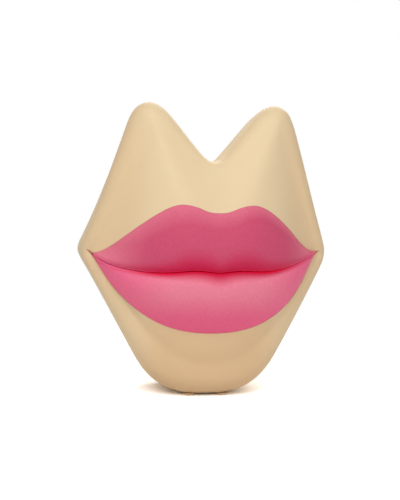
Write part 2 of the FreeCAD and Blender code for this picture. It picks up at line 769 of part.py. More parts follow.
def lip_carrier_screws():
    seat = CARRIER_Y + CARRIER_THICKNESS
    sizes = (SCREW_HEAD_RADIUS, SCREW_HEAD_HEIGHT, SCREW_RADIUS)
    long_shank = CARRIER_THICKNESS + SCREW_PILOT
    short_shank = CARRIER_THICKNESS + SCREW_PILOT / 3
    screws = [screw_y(x, z, seat, -1, long_shank, *sizes) for x, z in lip_peg_spots()]
    screws += [screw_y(x, z, seat, -1, short_shank, *sizes) for x, z in carrier_spots()]
    return group(screws)


def rubber_feet():
    rows = (FOOT_FRONT_Y, FOOT_BACK_Y)
    top = FOOT_HEIGHT + FOOT_RECESS
    return group([rod_z(side * FOOT_X, y, FOOT_RADIUS, (0, top)) for y in rows for side in (1, -1)])


# Earpiece

def ear_floor_y():
    return COVER_IN_Y - FIT_GAP


def receiver_front():
    return ear_floor_y() - GASKET_THICKNESS


def receiver_back():
    return receiver_front() - RECEIVER_DEPTH


def earpiece_cap():
    top = COVER_Y + EAR_CAP_RISE
    flange = rod_y(0, EAR_Z, EAR_CAP_RADIUS, (COVER_Y, top))
    rim = [e for e in flange.Edges if e.Closed and e.CenterOfMass.y > top - 0.01]
    flange = flange.makeFillet(EAR_CAP_RISE / 2, rim)
    cap = flange.fuse(rod_y(0, EAR_Z, EAR_SPIGOT_RADIUS, (ear_floor_y(), COVER_Y)))
    dish_y = ear_floor_y() + EAR_FLOOR + EAR_DISH_RADIUS
    dish = Part.makeSphere(EAR_DISH_RADIUS, Vector(0, dish_y, EAR_Z))
    holes = hole_ring(0, EAR_Z, EAR_RINGS, EAR_HOLE_RADIUS, (ear_floor_y() - 1, top + 1))
    return cap.cut([dish] + holes)


def receiver_gasket():
    outer = RECEIVER_RADIUS
    return tube_y(0, EAR_Z, outer, outer - 3 * RECEIVER_WALL, (receiver_front(), ear_floor_y()))


def diaphragm_ends():
    top = receiver_front() - 2 * RECEIVER_WALL
    return (top - DIAPHRAGM_THICKNESS, top)


def receiver_capsule():
    body = rod_y(0, EAR_Z, RECEIVER_RADIUS, (receiver_back(), receiver_front()))
    ledge = diaphragm_ends()[0]
    bore = RECEIVER_RADIUS - RECEIVER_WALL
    low = rod_y(0, EAR_Z, bore - RECEIVER_WALL, (receiver_back() + RECEIVER_WALL, ledge))
    high = rod_y(0, EAR_Z, bore, (ledge, receiver_front() - RECEIVER_WALL))
    holes = hole_ring(0, EAR_Z, EAR_RINGS[:2], EAR_HOLE_RADIUS, (ledge, receiver_front() + 1))
    return body.cut([low, high] + holes)


def receiver_diaphragm():
    return rod_y(0, EAR_Z, RECEIVER_RADIUS - RECEIVER_WALL - FIT_GAP, diaphragm_ends())


def receiver_magnet():
    back = receiver_back() + RECEIVER_WALL
    return rod_y(0, EAR_Z, MAGNET_RADIUS, (back, diaphragm_ends()[0] - RECEIVER_WALL))


def receiver_clamp():
    half = CLAMP_POST_X + POST_RADIUS
    y = (receiver_back() - CLAMP_THICKNESS, receiver_back())
    bar = rounded_block((-half, half), y, centred(EAR_Z, CLAMP_HEIGHT), POST_RADIUS)
    hole = BOARD_SCREW_RADIUS + SCREW_GAP
    return bar.cut([rod_y(x, EAR_Z, hole, y) for x in (CLAMP_POST_X, -CLAMP_POST_X)])


def board_screws(spots, seat, clamped):
    sizes = (BOARD_SCREW_HEAD_RADIUS, BOARD_SCREW_HEAD, BOARD_SCREW_RADIUS)
    return group([screw_y(x, z, seat, 1, clamped + SCREW_PILOT * 0.6, *sizes) for x, z in spots])


def receiver_clamp_screws():
    spots = both_sides([(CLAMP_POST_X, EAR_Z)])
    return board_screws(spots, receiver_back() - CLAMP_THICKNESS, CLAMP_THICKNESS)


# Microphone and ringer

def mic_boot_radius():
    return MIC_RADIUS + BOOT_WALL


def microphone_boot():
    back = COVER_IN_Y - BOOT_FRONT - MIC_LENGTH
    boot = rod_y(0, MIC_Z, mic_boot_radius(), (back, COVER_IN_Y))
    bore = rod_y(0, MIC_Z, MIC_RADIUS, (back, COVER_IN_Y - BOOT_FRONT))
    mouth = rod_y(0, MIC_Z, MIC_HOLE_RING + MIC_HOLE_RADIUS, (back, COVER_IN_Y))
    return boot.cut([bore, mouth])


def microphone_capsule():
    front = COVER_IN_Y - BOOT_FRONT
    return rod_y(0, MIC_Z, MIC_RADIUS, (front - MIC_LENGTH, front))


def ringer_disc_ends():
    back = COVER_IN_Y - RINGER_HEIGHT + RINGER_WALL + RINGER_LEDGE
    return (back, back + RINGER_DISC_THICKNESS)


def ringer_cup():
    back = COVER_IN_Y - RINGER_HEIGHT
    cup = rod_y(RINGER_X, RINGER_Z, RINGER_RADIUS, (back, COVER_IN_Y))
    bore = RINGER_RADIUS - RINGER_WALL
    ledge = ringer_disc_ends()[0]
    low = rod_y(RINGER_X, RINGER_Z, bore - RINGER_LEDGE, (back + RINGER_WALL, ledge))
    return cup.cut([low, rod_y(RINGER_X, RINGER_Z, bore, (ledge, COVER_IN_Y))])


def ringer_disc():
    return rod_y(RINGER_X, RINGER_Z, RINGER_RADIUS - RINGER_WALL - FIT_GAP, ringer_disc_ends())


# Keypad

def key_spots():
    """Label and (x, z) of each key; +X is on the left of someone who looks at the back."""
    spots = []
    for k, label in enumerate(KEY_LABELS):
        row, column = divmod(k, 3)
        spots.append((label, (1 - column) * KEY_PITCH_X, KEYPAD_Z + (1.5 - row) * KEY_PITCH_Z))
    return spots


def key_block(grow, ends):
    return rounded_block(centred(0, KEY_WIDTH + 2 * grow), ends, centred(0, KEY_HEIGHT + 2 * grow),
                         KEY_CORNER + grow)


def key_solid():
    cap = key_block(0, (KEY_BOTTOM_Y, KEY_TOP_Y))
    rim = [e for e in cap.Edges if e.CenterOfMass.y > KEY_TOP_Y - 0.01]
    cap = cap.makeFillet(KEY_EDGE, rim)
    return cap.fuse(key_block(KEY_FLANGE, (KEY_BOTTOM_Y, FLANGE_TOP_Y)))


def keypad_bezel():
    bezel = bezel_block(0, (BEZEL_IN_Y, BEZEL_Y))
    holes = []
    for label, x, z in key_spots():
        hole = key_block(KEY_GAP, (BEZEL_IN_Y - 1, BEZEL_Y + 1))
        hole.translate(Vector(x, 0, z))
        holes.append(hole)
    return bezel.cut(holes)


def keypad_mat():
    half = KEYS_HALF_WIDTH + MAT_MARGIN
    rise = KEYS_HALF_HEIGHT + MAT_MARGIN
    sheet = box((-half, half), (BOARD_TOP_Y, MAT_TOP_Y), (KEYPAD_Z - rise, KEYPAD_Z + rise))
    domes = []
    for label, x, z in key_spots():
        base = Vector(x, MAT_TOP_Y, z)
        domes.append(Part.makeCone(DOME_RADIUS, DOME_TOP_RADIUS, DOME_HEIGHT, base, Vector(0, 1, 0)))
    return sheet.fuse(domes)


def keypad_board():
    half = KEYS_HALF_WIDTH + BOARD_MARGIN
    rise = KEYS_HALF_HEIGHT + BOARD_MARGIN
    y = (BOARD_BOTTOM_Y, BOARD_TOP_Y)
    board = box((-half, half), y, (KEYPAD_Z - rise, KEYPAD_Z + rise))
    return board.cut([rod_y(x, z, BOARD_SCREW_RADIUS + SCREW_GAP, y) for x, z in keypad_posts()])


# Main board

def main_board():
    y = (MAIN_BOARD_Y, MAIN_BOARD_TOP_Y)
    x = (-MAIN_BOARD_HALF_WIDTH, MAIN_BOARD_HALF_WIDTH)
    board = box(x, y, (MAIN_BOARD_LOW, MAIN_BOARD_HIGH))
    return board.cut([rod_y(x, z, BOARD_SCREW_RADIUS + SCREW_GAP, y) for x, z in main_posts()])


def on_board(spot, size):
    """Block that sits on the back of the main board, with its middle at (x, z)."""
    y = (MAIN_BOARD_TOP_Y, MAIN_BOARD_TOP_Y + size[1])
    return box(centred(spot[0], size[0]), y, centred(spot[1], size[2]))


def dialler_chip():
    return on_board(CHIP_AT, CHIP_SIZE)


def board_capacitors():
    y = (MAIN_BOARD_TOP_Y, MAIN_BOARD_TOP_Y + CAPACITOR_HEIGHT)
    return group([rod_y(x, z, CAPACITOR_RADIUS, y) for x, z in CAPACITORS])


def transformer_core():
    core = on_board(TRANSFORMER_AT, TRANSFORMER_SIZE)
    return core.cut(transformer_window(0))


def transformer_window(inset):
    x, z = TRANSFORMER_AT
    width, depth, height = TRANSFORMER_SIZE
    ends = (MAIN_BOARD_TOP_Y, MAIN_BOARD_TOP_Y + depth - CORE_WALL - inset)
    return box(centred(x, width - 2 * CORE_WALL - 2 * inset), ends, centred(z, height))


def transformer_bobbin():
    return transformer_window(FIT_GAP)


# Hook switch

def hook_chassis():
    x = (-CHASSIS_HALF_WIDTH, CHASSIS_HALF_WIDTH)
    plate = box(x, (CHASSIS_FRONT_Y, CHASSIS_BACK_Y), (CHASSIS_LOW_Z, CHASSIS_TOP_Z))
    seat = FLOOR_Z + SEAT_RISE
    adds = [rod_z(x, y, SPACER_RADIUS, (seat, CHASSIS_TOP_Z)) for x, y in base_spots()]
    depth = centred(HOOK_Y, 2 * BRIDGE_HALF_DEPTH)
    wall_x = (CHEEK_X, CHEEK_X + CHEEK_WALL)
    bridge_top = BRIDGE_Z + CHASSIS_WALL
    ear_y = (switch_y()[0], HOOK_Y)
    for side in (1, -1):
        ends = sorted(side * value for value in wall_x)
        adds.append(box(ends, depth, (CHASSIS_TOP_Z, bridge_top)))
        adds.append(box(ends, ear_y, (CHASSIS_TOP_Z, PIVOT_Z + EAR_REACH)))
    adds.append(box((-CHEEK_X, CHEEK_X), depth, (BRIDGE_Z, bridge_top)))
    cuts = [rod_z(0, HOOK_Y, PLUNGER_RADIUS + HOOK_GAP, (FLOOR_Z, CHASSIS_TOP_Z))]
    cuts.append(rod_z(0, HOOK_Y, STEM_RADIUS + HOOK_GAP, (BRIDGE_Z, bridge_top)))
    reach = wall_x[1] + 1
    cuts.append(rod_x(PIVOT_Y, PIVOT_Z, PIN_RADIUS, (-reach, reach)))
    for x, y in base_spots():
        cuts.append(rod_z(x, y, SCREW_RADIUS, (FLOOR_Z, CHASSIS_TOP_Z)))
    return plate.fuse(adds).cut(cuts).removeSplitter()


def chassis_screws():
    seat = base_seat()
    screws = []
    for x, y in base_spots():
        head = rod_z(x, y, SCREW_HEAD_RADIUS, (seat - SCREW_HEAD_HEIGHT, seat))
        screws.append(head.fuse(rod_z(x, y, SCREW_RADIUS, (seat, CHASSIS_TOP_Z))))
    return group(screws)


def hook_plunger():
    foot = rod_z(0, HOOK_Y, PLUNGER_RADIUS, (0, FLANGE_Z))
    flange = rod_z(0, HOOK_Y, PLUNGER_FLANGE_RADIUS, (FLANGE_Z, STEM_Z))
    stem = rod_z(0, HOOK_Y, STEM_RADIUS, (STEM_Z, STEM_TOP_Z - STEM_RADIUS))
    tip = Part.makeSphere(STEM_RADIUS, Vector(0, HOOK_Y, STEM_TOP_Z - STEM_RADIUS))
    return foot.fuse([flange, stem, tip]).removeSplitter()


def biarc(start, leave, end, arrive):
    """Two tangent arcs from one point and direction to another."""
    chord = end - start
    turn = leave + arrive
    spread = 2 * (1 - leave.dot(arrive))
    reach = (math.sqrt(chord.dot(turn) ** 2 + spread * chord.dot(chord)) - chord.dot(turn)) / spread
    knee = (start + end + (leave - arrive) * reach) * 0.5
    arcs = []
    for one, corner, two in ((start, start + leave * reach, knee), (knee, end - arrive * reach, end)):
        middle = (one + two) * 0.5
        cosine = (two - one).Length / 2 / (corner - one).Length
        arcs.append(Part.Arc(one, middle + (corner - middle) * (cosine / (1 + cosine)), two).toShape())
    return arcs


def hook_spring():
    """Coil between the plunger's flange and the bridge, in quarter turns."""
    low = STEM_Z + SPRING_WIRE / 2
    high = BRIDGE_Z - SPRING_WIRE / 2
    steps = SPRING_TURNS * 4
    climb = (high - low) / (2 * math.pi * SPRING_TURNS)
    edges = []
    points = []
    for k in range(steps + 1):
        angle = math.pi / 2 * k
        spot = Vector(math.cos(angle), math.sin(angle), 0) * SPRING_RADIUS
        way = Vector(-math.sin(angle) * SPRING_RADIUS, math.cos(angle) * SPRING_RADIUS, climb)
        points.append((spot + Vector(0, HOOK_Y, low + climb * angle), way.normalize()))
    for (start, leave), (end, arrive) in zip(points, points[1:]):
        edges += biarc(start, leave, end, arrive)
    profile = Part.Wire([Part.makeCircle(SPRING_WIRE / 2, points[0][0], points[0][1])])
    path = Part.Wire(Part.__sortEdges__(edges))
    return path.makePipeShell([profile], True, False)


def hook_lever():
    x = centred(0, LEVER_WIDTH)
    arm = box(x, (PIVOT_Y - LEVER_SHORT_ARM, HOOK_Y + STEM_RADIUS), (LEVER_Z, LEVER_Z + LEVER_THICKNESS))
    hub = rod_x(PIVOT_Y, PIVOT_Z, LEVER_HUB_RADIUS, x)
    return arm.fuse(hub).cut(rod_x(PIVOT_Y, PIVOT_Z, PIN_RADIUS + PIN_GAP, x)).removeSplitter()


def hook_lever_pin():
    reach = CHEEK_X + CHEEK_WALL
    return rod_x(PIVOT_Y, PIVOT_Z, PIN_RADIUS, (-reach, reach))


def switch_y():
    back = PIVOT_Y - LEVER_HUB_RADIUS - HOOK_GAP
    return (back - SWITCH_DEPTH, back)


def switch_top():
    return LEVER_Z - LEVER_GAP - SWITCH_BUTTON


def hook_switch():
    top = switch_top()
    body = box((-CHEEK_X, CHEEK_X), switch_y(), (top - SWITCH_HEIGHT, top))
    button = rod_z(0, PIVOT_Y - LEVER_SHORT_ARM + SWITCH_BUTTON, SWITCH_BUTTON, (top, top + SWITCH_BUTTON))
    return body.fuse(button)


def ballast_weights():
    x = (CHEEK_X + CHEEK_WALL + FIT_GAP, CHASSIS_HALF_WIDTH)
    z = (CHASSIS_TOP_Z, CHASSIS_TOP_Z + BALLAST_HEIGHT)
    y = (CHASSIS_BACK_Y - BALLAST_LENGTH, CHASSIS_BACK_Y)
    blocks = []
    for side in (1, -1):
        blocks.append(box(sorted(side * value for value in x), y, z))
    return group(blocks)


# Line jack and slide switches

def jack_socket():
    y = (COVER_Y - JACK_SOCKET_DEPTH, COVER_Y)
    low = JACK_Z - (JACK_SOCKET_HEIGHT + JACK_LATCH_HEIGHT) / 2
    top = low + JACK_LATCH_HEIGHT + JACK_SOCKET_HEIGHT
    plug = box(centred(JACK_X, JACK_SOCKET_WIDTH), y, (low + JACK_LATCH_HEIGHT, top))
    latch = box(centred(JACK_X, JACK_LATCH_WIDTH), y, (low, low + JACK_LATCH_HEIGHT))
    return plug.fuse(latch), top


def line_jack():
    body = box(centred(JACK_X, JACK_WIDTH), (COVER_Y - JACK_DEPTH, COVER_Y), centred(JACK_Z, JACK_HEIGHT))
    y = (COVER_IN_Y - JACK_FLANGE_THICKNESS, COVER_IN_Y)
    rim = 2 * JACK_FLANGE
    flange = box(centred(JACK_X, JACK_WIDTH + rim), y, centred(JACK_Z, JACK_HEIGHT + rim))
    return body.fuse(flange).cut(jack_socket()[0]).removeSplitter()


def line_jack_contacts():
    top = jack_socket()[1]
    back = COVER_Y - JACK_SOCKET_DEPTH
    y = (back, COVER_Y - 2 * CONTACT_SIZE)
    z = (top - CONTACT_SIZE, top)
    wires = []
    for k in range(CONTACT_COUNT):
        x = JACK_X + (k - (CONTACT_COUNT - 1) / 2) * CONTACT_PITCH
        wires.append(box(centred(x, CONTACT_SIZE), y, z))
    return group(wires)


def slide_body(side):
    x = side * SLIDE_X
    width = SLIDE_STEM_WIDTH + 2 * SLIDE_GAP
    length = SLIDE_STEM_LENGTH + 2 * (SLIDE_TRAVEL + SLIDE_GAP)
    back = COVER_IN_Y - SLIDE_BODY_DEPTH
    wall = 2 * SLIDE_BODY_WALL
    body = box(centred(x, width + wall), (back, COVER_IN_Y), centred(SLIDE_Z, length + wall))
    depth = SLIDE_FOOT_DEPTH + SLIDE_GAP
    return body.cut(box(centred(x, width), (COVER_IN_Y - depth, COVER_IN_Y), centred(SLIDE_Z, length)))


def slide_knob(side):
    x = side * SLIDE_X
    base = COVER_Y + SLIDE_GAP
    top = base + SLIDE_KNOB_RISE
    cap = box(centred(x, SLIDE_KNOB_WIDTH), (base, top), centred(SLIDE_Z, SLIDE_KNOB_LENGTH))
    edges = [e for e in cap.Edges if e.CenterOfMass.y > top - 0.01]
    cap = cap.makeFillet(SLIDE_GAP * 2, edges)
    stem_y = (COVER_IN_Y - SLIDE_FOOT_DEPTH, base)
    return cap.fuse(box(centred(x, SLIDE_STEM_WIDTH), stem_y, centred(SLIDE_Z, SLIDE_STEM_LENGTH)))


def build():
    """Every node of the telephone by name."""
    skin = skin_net()
    inner = inner_net(skin, SHELL_WALL)
    spots = cover_spots(inner)
    nodes = {
        "front_shell": front_shell(solid_between(skin, inner, True), spots),
        "upper_lip": lip_with_pegs(1, UPPER_PROFILE, UPPER_SWELL, UPPER_PEG_Z),
        "lower_lip": lip_with_pegs(-1, LOWER_PROFILE, LOWER_SWELL, LOWER_PEG_Z),
        "lip_carrier": lip_carrier(),
        "lip_carrier_screws": lip_carrier_screws(),
        "rear_cover": rear_cover(inner, spots),
        "rear_cover_screws": cover_screws(spots),
        "rubber_feet": rubber_feet(),
        "earpiece_cap": earpiece_cap(),
        "receiver_gasket": receiver_gasket(),
        "receiver_capsule": receiver_capsule(),
        "receiver_diaphragm": receiver_diaphragm(),
        "receiver_magnet": receiver_magnet(),
        "receiver_clamp": receiver_clamp(),
        "receiver_clamp_screws": receiver_clamp_screws(),
        "microphone_boot": microphone_boot(),
        "microphone_capsule": microphone_capsule(),
        "ringer_cup": ringer_cup(),
        "ringer_disc": ringer_disc(),
        "keypad_bezel": keypad_bezel(),
        "keypad_mat": keypad_mat(),
        "keypad_board": keypad_board(),
        "keypad_board_screws": board_screws(keypad_posts(), BOARD_BOTTOM_Y, BOARD_THICKNESS),
        "main_board": main_board(),
        "main_board_screws": board_screws(main_posts(), MAIN_BOARD_Y, BOARD_THICKNESS),
        "dialler_chip": dialler_chip(),
        "board_capacitors": board_capacitors(),
        "transformer_core": transformer_core(),
        "transformer_bobbin": transformer_bobbin(),
        "hook_chassis": hook_chassis(),
        "hook_chassis_screws": chassis_screws(),
        "hook_plunger": hook_plunger(),
        "hook_spring": hook_spring(),
        "hook_lever": hook_lever(),
        "hook_lever_pin": hook_lever_pin(),
        "hook_switch": hook_switch(),
        "ballast_weights": ballast_weights(),
        "line_jack": line_jack(),
        "line_jack_contacts": line_jack_contacts(),
        "ringer_switch_body": slide_body(1),
        "ringer_switch_knob": slide_knob(1),
        "dial_mode_body": slide_body(-1),
        "dial_mode_knob": slide_knob(-1),
    }
    key = key_solid()
    for label, x, z in key_spots():
        nodes["key_" + label] = key.translated(Vector(x, 0, z))
    return nodes


def main():
    os.makedirs("parts", exist_ok=True)
    for name, shape in build().items():
        shape.exportStep("parts/" + name + ".step")
        print(name, len(shape.Solids), shape.isValid(), round(shape.Volume, 1))


main()
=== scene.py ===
"""Finishes, markings and a small studio for an upright push-button telephone shaped as a mouth."""
import math

import bpy
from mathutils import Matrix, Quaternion, Vector


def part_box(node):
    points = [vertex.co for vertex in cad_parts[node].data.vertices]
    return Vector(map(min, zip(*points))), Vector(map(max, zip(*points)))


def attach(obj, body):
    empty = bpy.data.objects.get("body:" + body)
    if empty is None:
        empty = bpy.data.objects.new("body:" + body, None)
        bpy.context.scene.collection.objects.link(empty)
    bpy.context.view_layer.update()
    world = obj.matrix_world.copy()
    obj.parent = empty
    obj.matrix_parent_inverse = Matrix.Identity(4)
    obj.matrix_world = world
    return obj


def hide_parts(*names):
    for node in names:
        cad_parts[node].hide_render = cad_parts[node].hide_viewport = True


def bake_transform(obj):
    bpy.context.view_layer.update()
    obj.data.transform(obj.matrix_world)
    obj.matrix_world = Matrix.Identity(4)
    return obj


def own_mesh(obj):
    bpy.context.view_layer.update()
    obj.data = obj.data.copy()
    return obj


bl_info = {
    "name": "Mouth telephone",
    "version": (1, 0, 0),
    "blender": (4, 5, 0),
    "location": "View3D > Sidebar > Telephone",
    "description": "Finishes, markings and stage for a telephone shaped as a mouth",
    "category": "Object",
}

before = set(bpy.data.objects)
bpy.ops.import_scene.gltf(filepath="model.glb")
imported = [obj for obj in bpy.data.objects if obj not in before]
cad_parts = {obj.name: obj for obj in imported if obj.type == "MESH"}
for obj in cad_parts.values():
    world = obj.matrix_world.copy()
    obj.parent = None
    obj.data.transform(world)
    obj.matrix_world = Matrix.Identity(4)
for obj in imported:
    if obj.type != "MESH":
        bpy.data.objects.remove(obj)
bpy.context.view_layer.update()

MM = 0.001
# How far both corners of the mouth lie to the left, and how far the left one lies below the other, in mm
CORNER_SHIFT = 1.4
CORNER_DROP = 2.0
KEY_MARKS = {
    "key_1": ("1", ""), "key_2": ("2", "ABC"), "key_3": ("3", "DEF"),
    "key_4": ("4", "GHI"), "key_5": ("5", "JKL"), "key_6": ("6", "MNO"),
    "key_7": ("7", "PRS"), "key_8": ("8", "TUV"), "key_9": ("9", "WXY"),
    "key_star": ("*", ""), "key_0": ("0", ""), "key_hash": ("#", ""),
}
UP = Vector((0, 0, 1))
BACK = Vector((0, 1, 0))
FACING_BACK = (math.radians(90), 0, math.radians(180))
# How much of a font's size its capitals take up
CAPITAL_SHARE = 0.7
MERGE_DISTANCE = 0.002 * MM
ROUND_SIDES = 40
# Least part of a normal along a direction for a face that looks that way, and for one that is square to it
FACING = 0.9
SQUARE = 0.999
# Range that noise seldom leaves, and length of a wave texture's bands at scale 1
NOISE_RANGE = {"From Min": 0.25, "From Max": 0.75}
WAVE_LENGTH = 2 * math.pi / 20
PAINT = {"subtype": "COLOR", "size": 4, "min": 0, "max": 1}
SMOOTH = {"interpolation_type": "SMOOTHSTEP"}
COLOUR = {"data_type": "RGBA"}


def linear(code):
    """Linear colour, with alpha, from an sRGB hex code."""
    parts = [int(code[k:k + 2], 16) / 255 for k in (1, 3, 5)]
    return tuple(p / 12.92 if p < 0.04045 else ((p + 0.055) / 1.055) ** 2.4 for p in parts) + (1.0,)


def add(tree, kind, inputs=None, **settings):
    """A new node with its settings, and each input linked to a socket or a node, or set to a value."""
    made = tree.nodes.new("ShaderNode" + kind)
    for name, value in settings.items():
        setattr(made, name, value)
    for socket, value in (inputs or {}).items():
        if isinstance(value, bpy.types.Node):
            value = value.outputs[0]
        if isinstance(value, bpy.types.NodeSocket):
            tree.links.new(value, made.inputs[socket])
        else:
            made.inputs[socket].default_value = value
    return made


def finish_named(name, **sockets):
    """New material, its tree and its surface shader with constant sockets set."""
    material = bpy.data.materials.new(name)
    material.use_nodes = True
    shader = material.node_tree.nodes["Principled BSDF"]
    for socket, value in sockets.items():
        shader.inputs[socket.replace("_", " ")].default_value = value
    return material, material.node_tree, shader


def per_mm(size):
    """Texture scale whose features are about this many millimetres across."""
    return 1 / (size * MM)


def bands_per_mm(pitch):
    """Wave texture scale whose bands are this many millimetres apart."""
    return per_mm(pitch) * WAVE_LENGTH


def dress(material, nodes):
    """Puts a finish on every slot of the named pieces of the frame."""
    for name in nodes:
        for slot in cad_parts[name].material_slots:
            slot.material = material


def select(*pieces):
    """Selects only these pieces and makes the first one active."""
    bpy.ops.object.select_all(action="DESELECT")
    for piece in pieces:
        piece.select_set(True)
    bpy.context.view_layer.objects.active = pieces[0]


def settle(piece, name, material, body=None):
    """Names a finished piece, applies its place, and lets it ride on its body where it has only one."""
    select(piece)
    bpy.ops.object.transform_apply(location=True, rotation=True, scale=True)
    piece.name = name
    piece.data.name = name
    piece.data.materials.clear()
    piece.data.materials.append(material)
    if body:
        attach(piece, body)
    return piece


def joined(pieces):
    """One object from several."""
    select(*pieces)
    bpy.ops.object.join()
    return pieces[0]


def copied(piece, places):
    """The piece at the first place, and copies of it with their own meshes at the others."""
    pieces = [piece]
    for place in places[1:]:
        twin = piece.copy()
        twin.data = piece.data.copy()
        bpy.context.scene.collection.objects.link(twin)
        twin.location = place
        pieces.append(twin)
    piece.location = places[0]
    return pieces


def edit_all():
    """Edit mode with all of the active mesh selected."""
    bpy.ops.object.mode_set(mode="EDIT")
    bpy.ops.mesh.select_all(action="SELECT")


def pick_faces(piece, way, least=FACING, above=-math.inf):
    """Selects the faces in edit mode that look along a direction and lie above a height."""
    bpy.ops.mesh.select_all(action="DESELECT")
    bpy.ops.object.mode_set(mode="OBJECT")
    for face in piece.data.polygons:
        face.select = face.normal.dot(way) > least and face.center.z > above
    bpy.ops.object.mode_set(mode="EDIT")


def upright_cylinder(sides, radius, height, middle):
    """New cylinder with its middle at a height on the Z axis, left in edit mode."""
    bpy.ops.mesh.primitive_cylinder_add(vertices=sides, radius=radius, depth=height,
                                        location=(0, 0, middle))
    bpy.ops.object.transform_apply(location=True, rotation=False, scale=False)
    bpy.ops.object.mode_set(mode="EDIT")
    return bpy.context.object


def extrude(height):
    """Extrudes the selected faces along Z."""
    bpy.ops.mesh.extrude_region_move(TRANSFORM_OT_translate={"value": (0, 0, height)})


def shade_smooth(angle):
    """Leaves edit mode and smooths the shading of edges flatter than an angle in degrees."""
    bpy.ops.object.mode_set(mode="OBJECT")
    bpy.ops.object.shade_smooth_by_angle(angle=math.radians(angle))


def grain(tree, shader, size, depth):
    """Moulded or sprayed surface grain: features of a size in mm, that stand up by a depth in mm."""
    place = add(tree, "TexCoord")
    noise = add(tree, "TexNoise", {"Vector": place.outputs["Object"], "Scale": per_mm(size), "Detail": 3.0})
    bump = add(tree, "Bump", {"Height": noise.outputs["Fac"], "Distance": depth * MM})
    tree.links.new(bump.outputs["Normal"], shader.inputs["Normal"])
    return place


def mottle(tree, shader, place, colour, size, share):
    """Colour that drifts darker and lighter by a share over patches of a size in mm."""
    noise = add(tree, "TexNoise", {"Vector": place.outputs["Object"], "Scale": per_mm(size), "Detail": 2.0})
    level = add(tree, "MapRange", {"Value": noise.outputs["Fac"], **NOISE_RANGE, "To Min": 1 - share,
                                   "To Max": 1 + share})
    start = colour if isinstance(colour, bpy.types.NodeSocket) else colour[:3]
    tint = add(tree, "VectorMath", {0: start, 1: level}, operation="MULTIPLY")
    tree.links.new(tint.outputs["Vector"], shader.inputs["Base Color"])


def plain_finish(name, colour, grain_size, grain_depth, patch, drift, **sockets):
    """Finish of one colour with surface grain, and with a drift of tone over patches; sizes in mm."""
    material, tree, shader = finish_named(name, **sockets)
    place = grain(tree, shader, grain_size, grain_depth)
    mottle(tree, shader, place, colour, patch, drift)
    return material


# Plastics and rubbers: name, nodes, colour, roughness, grain in mm, depth of grain in mm, drift of colour.
# What each gives the eye: spark-eroded covers glitter faintly, polished keys are nearly smooth, and
# rubber is dull and a little uneven. Most real grain is finer, and is drawn as coarse as it needs to show.
MOULDINGS = (
    ("spark_eroded_abs", ("rear_cover",), "#dfbf94", 0.6, 0.8, 0.05, 0.02),
    ("satin_abs_ear_cap", ("earpiece_cap",), "#d9b78b", 0.45, 0.5, 0.015, 0.015),
    ("satin_abs_bezel", ("keypad_bezel",), "#b8466a", 0.42, 0.6, 0.02, 0.02),
    ("polished_abs_keys", tuple(KEY_MARKS), "#f1e8d6", 0.32, 1.6, 0.008, 0.01),
    ("acetal_knobs", ("ringer_switch_knob", "dial_mode_knob"), "#3a2f2c", 0.4, 0.5, 0.01, 0.03),
    ("black_phenolic", ("ringer_switch_body", "dial_mode_body", "hook_switch", "dialler_chip",
                        "ringer_cup"), "#1d1c1b", 0.5, 0.4, 0.012, 0.05),
    ("ivory_polycarbonate", ("line_jack",), "#e3dac6", 0.35, 0.9, 0.01, 0.015),
    ("natural_nylon", ("hook_chassis", "lip_carrier"), "#ddd6c4", 0.5, 1.2, 0.02, 0.02),
    ("white_acetal", ("hook_plunger",), "#efece4", 0.3, 1.5, 0.008, 0.01),
    ("neoprene", ("receiver_gasket", "microphone_boot"), "#1a1a1a", 0.8, 0.5, 0.03, 0.08),
    ("grey_silicone", ("keypad_mat",), "#a8a69f", 0.65, 0.7, 0.01, 0.03),
    ("polyester_tape", ("transformer_bobbin",), "#caa53a", 0.3, 0.6, 0.01, 0.04),
    ("pvc_sleeve", ("board_capacitors",), "#2f4a78", 0.28, 1.0, 0.006, 0.03),
)

# Metals: name, nodes, colour, roughness, length and width of the marks in mm, depth of the marks in mm.
# What each gives the eye: drawn and rolled ones gleam with fine lines, cast and sintered ones are dull.
METALS = (
    ("zinc_plated_steel", ("lip_carrier_screws", "receiver_clamp_screws", "keypad_board_screws",
                           "main_board_screws", "receiver_clamp"), "#b9bcc0", 0.32, 3.0, 0.15, 0.004),
    ("spring_steel", ("hook_spring", "hook_lever", "hook_lever_pin"), "#a5a6a8", 0.28, 4.0, 0.12, 0.004),
    ("pressed_aluminium", ("receiver_capsule", "receiver_diaphragm", "microphone_capsule"), "#cfd1d2", 0.34,
     2.0, 0.2, 0.004),
    ("gilt_bronze", ("line_jack_contacts",), "#d9b25a", 0.22, 2.0, 0.1, 0.002),
    ("rolled_brass", ("ringer_disc",), "#c9a04c", 0.3, 5.0, 0.15, 0.004),
    ("sintered_magnet", ("receiver_magnet",), "#6f6f72", 0.55, 0.5, 0.5, 0.02),
    ("grey_cast_iron", ("ballast_weights",), "#5a5855", 0.7, 0.8, 0.8, 0.08),
)


